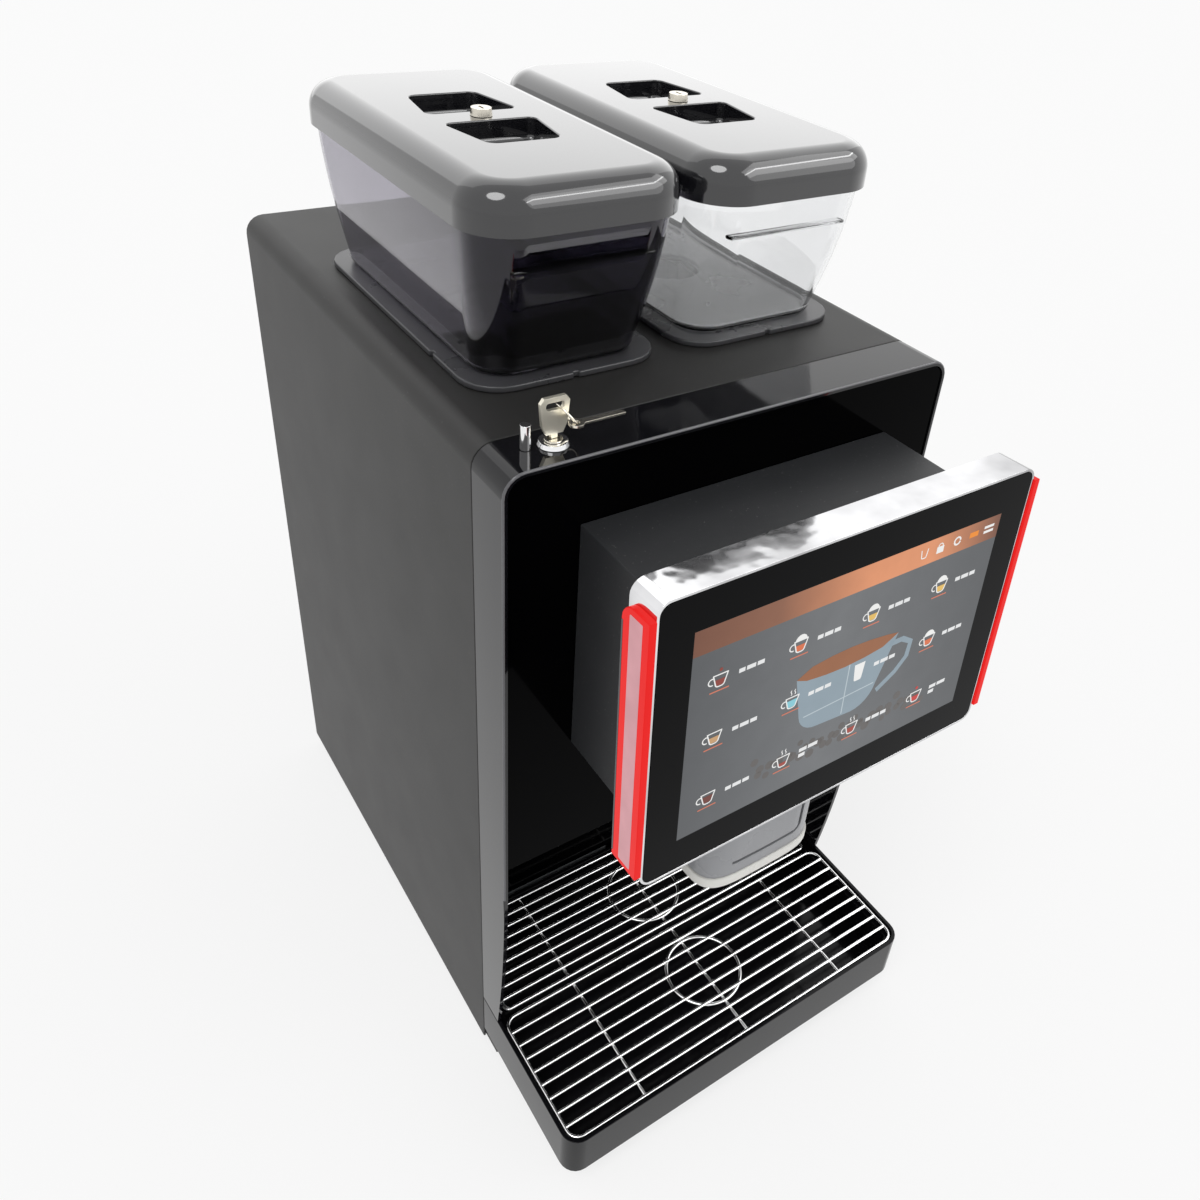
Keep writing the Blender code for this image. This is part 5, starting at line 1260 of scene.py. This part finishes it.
# ---- door ----------------------------------------------------------------------------------------
@dataclass
class Door:
    """Gloss black door with its lock, keys and release pin."""

    edge: float = 0.0012
    bow_width: float = 0.84
    bow_taper: float = 0.22
    taper_rate: float = 1.4
    ring_wire: float = 0.0007

    def build(self) -> None:
        """Make every piece of the door."""
        self.shell()
        refine("front_panel", PANEL_BLACK, 0.0005)
        refine("display_box", BOX_COAT, 0.0008)
        refine("lock_body", CHROME, 0.0006)
        refine("lock_plug", NICKEL, 0.0003)
        self.key()
        refine("spare_key", NICKEL, 0.0002)
        refine("release_pin", CHROME, 0.0007)
        self.ring()

    def shell(self) -> None:
        """The moulded shell, whose outer front edge is rounded and coloured lighter as a painted highlight.
        """
        low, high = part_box("door_shell")
        centre = (low + high) / 2
        form = copied("door_shell")
        sharp = (e for e in edges_at(form, Axis.Y, low.y) if e.calc_face_angle(0) > SHARP_FOLD)
        rim = [
            e for e in sharp
            if all(f.normal.dot(f.calc_center_median() - centre) > 0 for f in e.link_faces)
        ]
        # The rounding's faces take the lighter colour of a painted highlight.
        for face in round_edges(form, rim, self.edge, 3, clamp=False):
            face.material_index = 1
        make_piece("door_shell_skin", form, GLOSS_BLACK, "door", ["door_shell"], edge_finish=DOOR_EDGE_PAINTED_HIGHLIGHT)

    def key(self) -> None:
        """The key, whose bow is narrower than the CAD's and narrows towards its blade."""
        form = copied("key")
        low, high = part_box("key")
        middle, span = (low.x + high.x) / 2, high.z - low.z
        for vert in form.verts:
            drop = (high.z - vert.co.z) / span
            share = self.bow_width - self.bow_taper * min(1, drop * self.taper_rate)
            vert.co.x = middle + (vert.co.x - middle) * share
        make_piece("key_skin", form, KEY_NICKEL, body_of("key"), ["key"], 0.0004)

    def ring(self) -> None:
        """The key ring of round wire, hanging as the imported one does."""
        low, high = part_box("key_ring")
        middle, size = (low + high) / 2, high - low
        across = size.y / 2 - self.ring_wire
        form = hoop(across, self.ring_wire, middle, (size.z, 0, size.x))
        make_piece("key_ring_wire", form, NICKEL, body_of("key_ring"), ["key_ring"], sharp=60)


# ---- display -------------------------------------------------------------------------------------
@dataclass(frozen=True)
class Drink:
    """One drink's mark on the screen: a cup, what fills it and what is over it."""

    place: Span
    ink: str
    fill: float = 0.6
    foam: bool = False
    steam: bool = False
    bead: bool = False
    two_lines: bool = False


COLUMNS = (-0.095, -0.0395, 0.0155, 0.072)
ROWS = (0.036, -0.005, -0.051)
DRINKS = (
    Drink((COLUMNS[0], ROWS[0]), "americano", bead=True),
    Drink((COLUMNS[1], ROWS[0]), "orange", foam=True),
    Drink((COLUMNS[2], ROWS[0]), "yellow", foam=True),
    Drink((COLUMNS[3], ROWS[0]), "yellow", foam=True),
    Drink((COLUMNS[0], ROWS[1]), "mocha"),
    Drink((COLUMNS[1], ROWS[1]), "water", 0.75, steam=True),
    Drink((COLUMNS[3], ROWS[1]), "orange", foam=True),
    Drink((COLUMNS[0], ROWS[2]), "espresso", 0.75),
    Drink((COLUMNS[1], ROWS[2]), "chocolate", 0.35, steam=True, two_lines=True),
    Drink((COLUMNS[2], ROWS[2]), "chocolate", steam=True),
    Drink((COLUMNS[3], ROWS[2]), "strong", bead=True, two_lines=True),
)
MILK_CUP = (0.0127, -0.005)
LABEL_AHEAD = 0.0125  # how far a label starts to the right of its cup's middle
LABEL_TALL = 0.0028
LABEL_GAP = 0.0011
# Each label's rows: how far above its middle they are, and their plates' widths.
ONE_LINE = ((0.0005, (0.0042, 0.0062, 0.0048)),)
TWO_LINES = ((0.0022, (0.006, 0.0075)), (-0.0022, (0.005,)))

# The large cup: the ends of its mouth, its handle's middle line and its fine lines.
MOUTH_LEFT, MOUTH_RIGHT = (-0.038, 0.010), (0.042, 0.013)
HANDLE = [
    (0.036, 0.006), (0.047, 0.006), (0.055, 0.001), (0.054, -0.010), (0.046, -0.019), (0.032, -0.028),
]
HANDLE_WIDTH = 0.0042
FINE_LINES = ([(0.004, 0.004), (0.004, -0.034)], [(-0.028, -0.022), (0.028, -0.020)])
LINE_WIDTH = 0.0008
MOUTH_CURVE = 38  # radians of the mouth's wave per metre


@dataclass
class Display:
    """Leaning touch screen with its polished rim, side lights and lit picture."""

    lean: float = math.radians(-2.5)
    pane: Span = (0.273, 0.197)
    lit: Span = (0.229, 0.149)
    pane_half: float = 0.001
    pane_corner: float = 0.0068
    ink: float = 0.00006
    mark: float = 0.78
    band_tall: float = 0.0165
    beans: int = 46
    status_level: float = 0.0665
    bar_core: Span = (0.0044, 0.0154)
    bar_edge: Span = (0.0213, 0.0226)
    bar_high: float = 0.091
    bar_low: float = -0.089

    def __post_init__(self) -> None:
        """Find the pane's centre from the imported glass."""
        low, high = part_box("touch_glass")
        self.middle = (low + high) / 2

    def build(self) -> None:
        """Make every piece of the display."""
        refine("display_bezel", RIM_CHROME, 0.0007)
        self.glass()
        self.picture()
        self.large_cup()
        self.drinks()
        self.status_marks()
        for side in Side:
            self.light(side)

    def upright(self, form: Form) -> Form:
        """Place a form drawn about the origin, facing -Y, on the leaning pane."""
        form.transform(Matrix.Translation(self.middle) @ Matrix.Rotation(self.lean, 4, "X"))
        return form

    def glass(self) -> None:
        """Black-printed pane, with the lit picture printed on its front."""
        far = Vector((self.pane[0] / 2, self.pane_half, self.pane[1] / 2))
        form = rounded_block(-far, far, self.pane_corner, 8, Axis.Y)
        make_piece("touch_pane", self.upright(form), GLASS_BLACK, "door", ["touch_glass"], 0.0003)

    def print(self, name: str, outlines: Iterable[Outline], finish: Finish, level: int) -> None:
        """Thin printed shapes on the pane.

        Args:
            name: The piece's name.
            outlines: For each shape, points across and up from the pane's centre, in metres.
            finish: Their finish.
            level: Their layer above the glass, from 1.
        """
        front = -self.pane_half - self.ink * level
        back = front + self.ink * 0.9
        forms = [outline_prism(outline, front, back, Axis.Y) for outline in outlines]
        make_piece(name, self.upright(joined(forms)), finish, "door", sharp=30)

    def picture(self) -> None:
        """The picture's backdrop, the band along its top and the dark beans under the cup."""
        half_w, half_h = self.lit[0] / 2, self.lit[1] / 2
        dark, light = tint(88, 90, 92), tint(112, 114, 116)
        backdrop = ink("backdrop", dark, ((0, dark), (0.45, light), (1, dark)), half_w)
        self.print("screen_picture", [plate(0, 0, 2 * half_w, 2 * half_h)], backdrop, 1)
        brown, tan, orange = tint(118, 78, 60), tint(140, 96, 74), tint(222, 148, 106)
        stops = (0, brown), (0.25, tan), (0.55, orange), (0.75, orange), (1, brown)
        band = plate(0, half_h - self.band_tall / 2, 2 * half_w, self.band_tall)
        self.print("screen_band", [band], ink("band", brown, stops, half_w), 2)
        self.print("screen_beans", [self.bean(index) for index in range(self.beans)], INK_BEANS, 2)

    def bean(self, index: int) -> Outline:
        """One bean of the row under the cup, strewn by its number.

        Args:
            index: Its number, from the left.

        Returns:
            The outline.
        """
        u = -0.062 + 0.0031 * index + 0.0012 * math.sin(index * 2.4)
        v = -0.044 - 0.010 * abs(math.sin(index * 1.7)) + 0.003 * math.cos(index * 5.1)
        radius = 0.0030 + 0.0007 * math.sin(index * 3.3)
        return arc((u, v), radius, index * 40, index * 40 + 315, 7)

    def large_cup(self) -> None:
        """The large cup in the middle of the picture."""
        left = arc((-0.016, -0.018), 0.016, 190, 270, 6)
        right = arc((0.012, -0.018), 0.018, 270, 350, 6)
        body = [MOUTH_LEFT, *left, *right, MOUTH_RIGHT]
        self.print("screen_cup", [body, ribbon(HANDLE, HANDLE_WIDTH)], INK_CUP, 3)
        across = (-0.03, -0.015, 0, 0.015, 0.03)
        near = [(u, 0.0085 - 0.0045 * math.cos(u * MOUTH_CURVE)) for u in across]
        across = (0.032, 0.018, 0.003, -0.012, -0.027)
        far = [(u, 0.0135 + 0.0042 * math.cos(u * MOUTH_CURVE)) for u in across]
        self.print("screen_coffee", [[MOUTH_LEFT, *near, MOUTH_RIGHT, *far]], INK_COFFEE, 4)
        lines = [ribbon(line, LINE_WIDTH) for line in FINE_LINES]
        self.print("screen_cup_lines", lines, INK_CUP_LINE, 4)

    def drinks(self) -> None:
        """Twelve drink marks, each a cup on a line beside an abstract label."""
        white, labels, lines = [], [], []
        fills: dict[str, list[Outline]] = {}
        for drink in DRINKS:
            white.extend(self.placed(shape, drink.place) for shape in self.cup(drink))
            inside = [self.placed(shape, drink.place) for shape in self.filling(drink)]
            fills.setdefault(drink.ink, []).extend(inside)
            lines.append(self.placed(plate(0, -0.0090, 0.0165, 0.0011), drink.place))
            labels.extend(self.label(drink.place, TWO_LINES if drink.two_lines else ONE_LINE))
        white.append(bowl(*MILK_CUP, 0.0085, 0.013, 0.0012, 0.0015))
        labels.extend(self.label(MILK_CUP, ONE_LINE))
        self.print("screen_cups", white, INK_WHITE, 6)
        self.print("screen_underlines", lines, INK_UNDERLINE, 5)
        self.print("screen_labels", labels, INK_LABEL, 6)
        for name, outlines in fills.items():
            self.print(f"screen_{name}", outlines, DRINK_INKS[name], 5)

    def cup(self, drink: Drink) -> list[Outline]:
        """A drink's cup, drawn about the origin before it is shrunk.

        Args:
            drink: The drink.

        Returns:
            Its outlines: the cup's wall, rim and handle, and its foam or steam.
        """
        shapes = [
            ribbon(bowl(0, 0, 0.0125, 0.0105, 0.0022, 0.0028), 0.0010),
            plate(0, 0.0052, 0.0132, 0.0010),
            ribbon(arc((-0.0072, 0.0006), 0.0029, 70, 290, 8), 0.0010),
        ]
        if drink.foam:
            shapes.append(arc((0, 0.0046), 0.0056, 0, 180, 8))
        for shift in (-0.0018, 0.0018) if drink.steam else ():
            waves = [shift + 0.0006 * math.sin(step * 1.6) for step in range(5)]
            path = [(wave, 0.0072 + 0.0012 * step) for step, wave in enumerate(waves)]
            shapes.append(ribbon(path, 0.0008))
        return shapes

    def filling(self, drink: Drink) -> list[Outline]:
        """What a drink's cup holds, drawn about the origin before it is shrunk.

        Args:
            drink: The drink.

        Returns:
            Its outlines.
        """
        tall = 0.0088 * drink.fill
        inside = [bowl(0, tall / 2 - 0.0044, 0.0102, tall, 0.0012, 0.0018)]
        if drink.bead:
            inside.append(arc((0, 0.0092), 0.0015, 0, 320, 8))
        return inside

    def placed(self, outline: Outline, place: Span) -> Outline:
        """An outline shrunk to the marks' size and moved to its place."""
        return [(place[0] + u * self.mark, place[1] + v * self.mark) for u, v in outline]

    def label(self, place: Span, rows: tuple[tuple[float, tuple[float, ...]], ...]) -> list[Outline]:
        """An abstract label: rows of short plates.

        Args:
            place: The middle of the cup that it is beside.
            rows: For each row, how far above the middle it is and its plates' widths.

        Returns:
            The plates' outlines.
        """
        plates = []
        for above, widths in rows:
            left = place[0] + LABEL_AHEAD
            for width in widths:
                plates.append(plate(left + width / 2, place[1] + above, width, LABEL_TALL))
                left += width + LABEL_GAP
        return plates

    def status_marks(self) -> None:
        """Small marks along the picture's top edge."""
        high = self.status_level
        marks = [
            ribbon(bowl(0.050, high, 0.0055, 0.006, 0.0008, 0.001), 0.0007),
            plate(0.0635, high - 0.0012, 0.0058, 0.0046),
            ribbon(arc((0.0635, high + 0.0012), 0.0019, 0, 180, 6), 0.0007),
            ribbon(arc((0.078, high), 0.0026, 0, 345, 12), 0.0012),
            plate(0.1056, high + 0.0017, 0.0085, 0.0018),
            plate(0.1056, high - 0.0017, 0.0085, 0.0018),
        ]
        self.print("screen_status", marks, INK_WHITE, 3)
        self.print("screen_battery", [plate(0.0925, high, 0.0075, 0.0036)], INK_BATTERY, 3)

    def light(self, side: Side) -> None:
        """One side light: red body with a pale core and a dark rear edge on its outer face.

        Args:
            side: The side that it is on.
        """
        node = f"light_bar_{side.value}"
        make_piece(f"side_light_{side.value}", copied(node), LIGHT_RED, "door", [node], edge=0.0004)
        hand = -1 if side is Side.LEFT else 1
        outer = max(abs(point.x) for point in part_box(node))
        for name, depth, proud, short, finish in (
            ("core", self.bar_core, 0.00035, 0.004, LIGHT_CORE),
            ("edge", self.bar_edge, 0.0002, 0.011, FLANGE_GREY),
        ):
            near, far = (value - self.pane_half for value in depth)
            span = sorted((hand * (outer - 0.001), hand * (outer + proud)))
            low, high = self.bar_low + 0.004, self.bar_high - short
            form = rounded_block((span[0], near, low), (span[1], far, high), 0.0006, 3, Axis.X)
            piece = f"side_light_{name}_{side.value}"
            make_piece(piece, self.upright(form), finish, "door", edge=0.0001)


# ---- spout ---------------------------------------------------------------------------------------
@dataclass
class Spout:
    """Sliding grey hood with a cream lip, a curved slot and the twin outlet inside it."""

    lip: float = 0.0102
    proud: float = 0.0012
    wall: float = 0.0034
    lip_rounds: Span = (0.0028, 0.0012)
    # Inset of the near-black sheet inside the hood, behind the slot: painted shade.
    shade_sheet_inset: Span = (0.0031, 0.0037)
    flat: float = -0.2012
    slot: float = 0.0028
    slot_rise: float = 0.022
    slot_bend: float = 0.0055
    square: float = 0.46

    def build(self) -> None:
        """Make every piece of the spout."""
        self.hood()
        refine("twin_outlet", SATIN_BLACK, 0.0004)

    def squared(self, x: float, y: float) -> Span:
        """Push a point of the bowed plan out towards a rounded rectangle.

        Args:
            x: Its X.
            y: Its Y.

        Returns:
            The pushed point.
        """
        low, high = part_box("spout_housing")
        across, along = x / high.x, (y - self.flat) / (self.flat - low.y)
        if along >= 0:
            return x, y
        reach = math.hypot(across, along)
        wide = math.copysign(abs(across / reach) ** self.square, across)
        deep = abs(along / reach) ** self.square
        return wide * reach * high.x, self.flat - deep * reach * (self.flat - low.y)

    def plan(self, grow: float, steps: int = 36) -> Outline:
        """The hood's plan, grown outwards.

        Args:
            grow: How far it is grown.
            steps: Sides of its bow.

        Returns:
            The outline.
        """
        low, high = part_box("spout_housing")
        half, bow = high.x + grow, self.flat - low.y + grow
        angles = (math.pi * (1 + step / steps) for step in range(steps + 1))
        front = [self.squared(half * math.cos(a), self.flat + bow * math.sin(a)) for a in angles]
        return [(half, high.y - 0.0003), (-half, high.y - 0.0003), *front]

    def hood(self) -> None:
        """The hood, cut by its slot, with the lip welded round its foot."""
        low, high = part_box("spout_housing")
        lip_top = low.z + self.lip
        under = block(low - Vector((OVER, OVER, OVER)), (high.x + OVER, high.y + OVER, lip_top))
        form = copied("spout_housing")
        for vert in form.verts:
            vert.co.xy = self.squared(*vert.co.xy)
        form = carve(form, under)
        z, bend = low.z + self.slot_rise, self.slot_bend
        curve = arc((0.0265, z + bend), bend, 270, 360, 6)
        path = [(-0.0285, z), *curve, (0.032, high.z - 0.006)]
        tool = outline_prism(ribbon(path, self.slot), low.y - 0.02, low.y + 0.036, Axis.Y)
        form = carve(form, tool)
        make_piece("spout_hood", form, SPOUT_GREY, "spout", ["spout_housing"], edge=0.0007)
        # A near-black sheet just inside the hood's wall, seen through the slot: painted shade.
        back = outline_prism(self.plan(-self.shade_sheet_inset[0]), lip_top, high.z - 0.004, Axis.Z)
        core = outline_prism(self.plan(-self.shade_sheet_inset[1]), lip_top - OVER, high.z - 0.003, Axis.Z)
        make_piece("spout_shade_sheet", carve(back, core), SLOT_PAINTED_SHADE, "spout")
        band = outline_prism(self.plan(self.proud), low.z, lip_top, Axis.Z)
        round_edges(band, edges_at(band, Axis.Z, low.z), self.lip_rounds[0], 4)
        round_edges(band, edges_at(band, Axis.Z, lip_top), self.lip_rounds[1], 3)
        room = outline_prism(self.plan(-self.wall), low.z - OVER, high.z, Axis.Z)
        make_piece("spout_lip", carve(band, room), SPOUT_CREAM, "spout", sharp=MOULDED_SHARP)


# ---- tray ----------------------------------------------------------------------------------------
@dataclass
class DripTray:
    """Gloss tray with two grilles of round chromed wire."""

    wire: float = 0.0014
    bars: int = 10
    cross: float = 0.098
    sink: float = 0.0022
    ring: float = 0.031
    front_ring: float = -0.035
    rear_ring: float = 0.056

    def build(self) -> None:
        """Make every piece of the tray."""
        refine("drip_tray", TRAY_BLACK, 0.0007)
        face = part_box("door_shell")[0].y
        self.grille("grille_front", "front_grille", face + self.front_ring, 0.0095)
        self.grille("grille_rear", "rear_grille", face + self.rear_ring, 0.004)

    def grille(self, node: str, body: str, ring_y: float, corner: float) -> None:
        """One grille: a looped frame, long bars, cross wires under them and the cup's ring.

        Args:
            node: The CAD node that it stands for.
            body: The body that it rides on.
            ring_y: Y of the ring's centre.
            corner: Radius of the frame's corners.
        """
        low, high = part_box(node)
        inset = self.wire + 0.0001
        left, right, near, far = low.x + inset, high.x - inset, low.y + inset, high.y - inset
        level = high.z - inset
        pen = WirePen(self.wire, (0, near, level), (1, 0, 0))
        across, along = right - corner, far - near - 2 * corner
        pen.run(across)
        for length in (along, 2 * across, along):
            pen.bend(corner, (0, 0, 1), math.pi / 2).run(length)
        forms = [pen.bend(corner, (0, 0, 1), math.pi / 2).run(across).close()]
        pitch = (far - near) / (self.bars - 1)
        for index in range(1, self.bars - 1):
            y = near + pitch * index
            forms.append(cylinder(self.wire, (left, y, level), (right, y, level)))
        for x in (-self.cross, 0, self.cross):
            z = level - self.sink
            forms.append(cylinder(self.wire, (x, near, z), (x, far, z)))
        forms.append(hoop(self.ring, self.wire, (0, ring_y, level - 0.0002)))
        make_piece(f"{node}_wires", joined(forms), WIRE_CHROME, body, [node], sharp=50)


# ---- studio --------------------------------------------------------------------------------------
@dataclass
class Studio:
    """Floor, backdrop, lamps and camera."""

    eye: Point = (-0.37865, -0.57388, 0.86387)
    right: Point = (0.82349, -0.56194, 0.07806)
    down: Point = (-0.25967, -0.49565, -0.82879)
    lens: float = 31.82
    shift: Span = (-0.049, -0.0694)
    ambient: float = 0.62
    card_distance: float = 3.0
    floor_glow: float = 0.75

    def build(self) -> None:
        """Set up the studio."""
        self.floor()
        self.world()
        self.sun("key_sun", (-1.1, -0.6, 2.2), 0.95, 28)
        self.sun("fill_sun", (1.4, -1.6, 1.2), 0.35, 40)
        self.card("gloss_card", (0.30, 0.74, 0.60), (5.5, 4.0), 0.55)
        self.card("gloss_front", (0.58, -0.45, 0.67), (3.0, 1.5), 1.5)
        self.card("gloss_tube", (0.56, -0.46, 0.68), (3.2, 0.14), 6)
        self.camera()
        scene = bpy.context.scene
        scene.view_settings.view_transform = "Standard"

    def floor(self) -> None:
        """A plain pale floor that shows as white where no shadow falls."""
        form = bmesh.new()
        bmesh.ops.create_grid(form, x_segments=1, y_segments=1, size=40)
        mesh = bpy.data.meshes.new("floor")
        form.to_mesh(mesh)
        form.free()
        floor = bpy.data.objects.new("floor", mesh)
        bpy.context.scene.collection.objects.link(floor)
        graph = Graph("pale_floor")
        graph.set(Base_Color=(0.90, 0.90, 0.90), Roughness=0.9, Specular_IOR_Level=0.0)
        glow = graph.tree.nodes.new("ShaderNodeEmission")
        blend = graph.tree.nodes.new("ShaderNodeMixShader")
        share = self.seen(graph.tree, 0.0, self.floor_glow)
        graph.join(share, blend.inputs[0])
        graph.join(graph.shader.outputs[0], blend.inputs[1])
        graph.join(glow.outputs[0], blend.inputs[2])
        graph.join(blend.outputs[0], graph.output.inputs["Surface"])
        mesh.materials.append(graph.material)
        floor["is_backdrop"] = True

    def seen(self, tree: bpy.types.NodeTree, unseen: float, seen: float) -> Socket:
        """One value for rays that show the background, and another for rays that light things.

        Args:
            tree: The node tree.
            unseen: Value for rays that light things.
            seen: Value for camera, glossy and transmission rays.

        Returns:
            The value.
        """
        path = tree.nodes.new("ShaderNodeLightPath")
        total = path.outputs["Is Camera Ray"]
        for kind in ("Is Glossy Ray", "Is Transmission Ray"):
            add = tree.nodes.new("ShaderNodeMath")
            add.operation, add.use_clamp = "ADD", True
            tree.links.new(total, add.inputs[0])
            tree.links.new(path.outputs[kind], add.inputs[1])
            total = add.outputs[0]
        level = tree.nodes.new("ShaderNodeMapRange")
        level.inputs["To Min"].default_value = unseen
        level.inputs["To Max"].default_value = seen
        tree.links.new(total, level.inputs["Value"])
        return level.outputs[0]

    def world(self) -> None:
        """White background for the camera, gloss and glass, and a soft even light for the rest."""
        world = bpy.data.worlds.new("studio")
        bpy.context.scene.world = world
        world.use_nodes = True
        tree = world.node_tree
        back = tree.nodes["Background"]
        back.inputs["Color"].default_value = (1, 1, 1, 1)
        tree.links.new(self.seen(tree, self.ambient, 1.0), back.inputs["Strength"])

    def sun(self, name: str, place: Point, strength: float, spread: float) -> None:
        """A soft, even light that comes from the direction of a point.

        Args:
            name: The light's name.
            place: A point in its direction, seen from the machine.
            strength: Its strength.
            spread: Its angular size in degrees.
        """
        data = bpy.data.lights.new(name, "SUN")
        data.energy, data.angle = strength, math.radians(spread)
        lamp = bpy.data.objects.new(name, data)
        lamp.location = place
        lamp.rotation_euler = Vector(place).to_track_quat("Z", "Y").to_euler()
        bpy.context.scene.collection.objects.link(lamp)

    def card(self, name: str, way: Point, size: Span, radiance: float) -> None:
        """A pale card that only shows in gloss.

        Args:
            name: The card's name.
            way: Its direction from the lids.
            size: Its width and height.
            radiance: How bright it looks.
        """
        data = bpy.data.lights.new(name, "AREA")
        data.shape, data.size, data.size_y = "RECTANGLE", *size
        data.energy = radiance * math.pi * size[0] * size[1]
        lamp = bpy.data.objects.new(name, data)
        lamp.location = Vector((0, 0, 0.6)) + Vector(way).normalized() * self.card_distance
        lamp.rotation_euler = Vector(way).to_track_quat("Z", "Y").to_euler()
        lamp.visible_diffuse = False
        lamp.visible_transmission = False
        bpy.context.scene.collection.objects.link(lamp)

    def camera(self) -> None:
        """The camera, looking down on the machine's front left corner."""
        data = bpy.data.cameras.new("camera")
        data.sensor_fit, data.sensor_width, data.lens = "HORIZONTAL", 36, self.lens
        data.shift_x, data.shift_y = self.shift
        camera = bpy.data.objects.new("camera", data)
        across, up = Vector(self.right).normalized(), -Vector(self.down).normalized()
        back = across.cross(up)
        turn = Matrix((across, up, back)).transposed().to_4x4()
        camera.matrix_world = Matrix.Translation(self.eye) @ turn
        bpy.context.scene.collection.objects.link(camera)
        bpy.context.scene.camera = camera


def corners(box: tuple[Vector, Vector]) -> list[list[float]]:
    """A box's two corners as plain lists."""
    return [list(corner) for corner in box]


def main() -> None:
    """Build the studio and every sub-assembly in order."""
    logging.basicConfig(level=logging.INFO, format="%(message)s")
    packed = corners(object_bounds())
    Studio().build()
    cabinet = Cabinet()
    cabinet.dress_inside()
    cabinet.build()
    Hopper(Side.LEFT, SMOKED).build()
    Hopper(Side.RIGHT, WATER_CLEAR).build()
    Door().build()
    Display().build()
    Spout().build()
    DripTray().build()
    {"cad": packed, "visual": corners(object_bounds())}


if __name__ == "__main__":
    main()
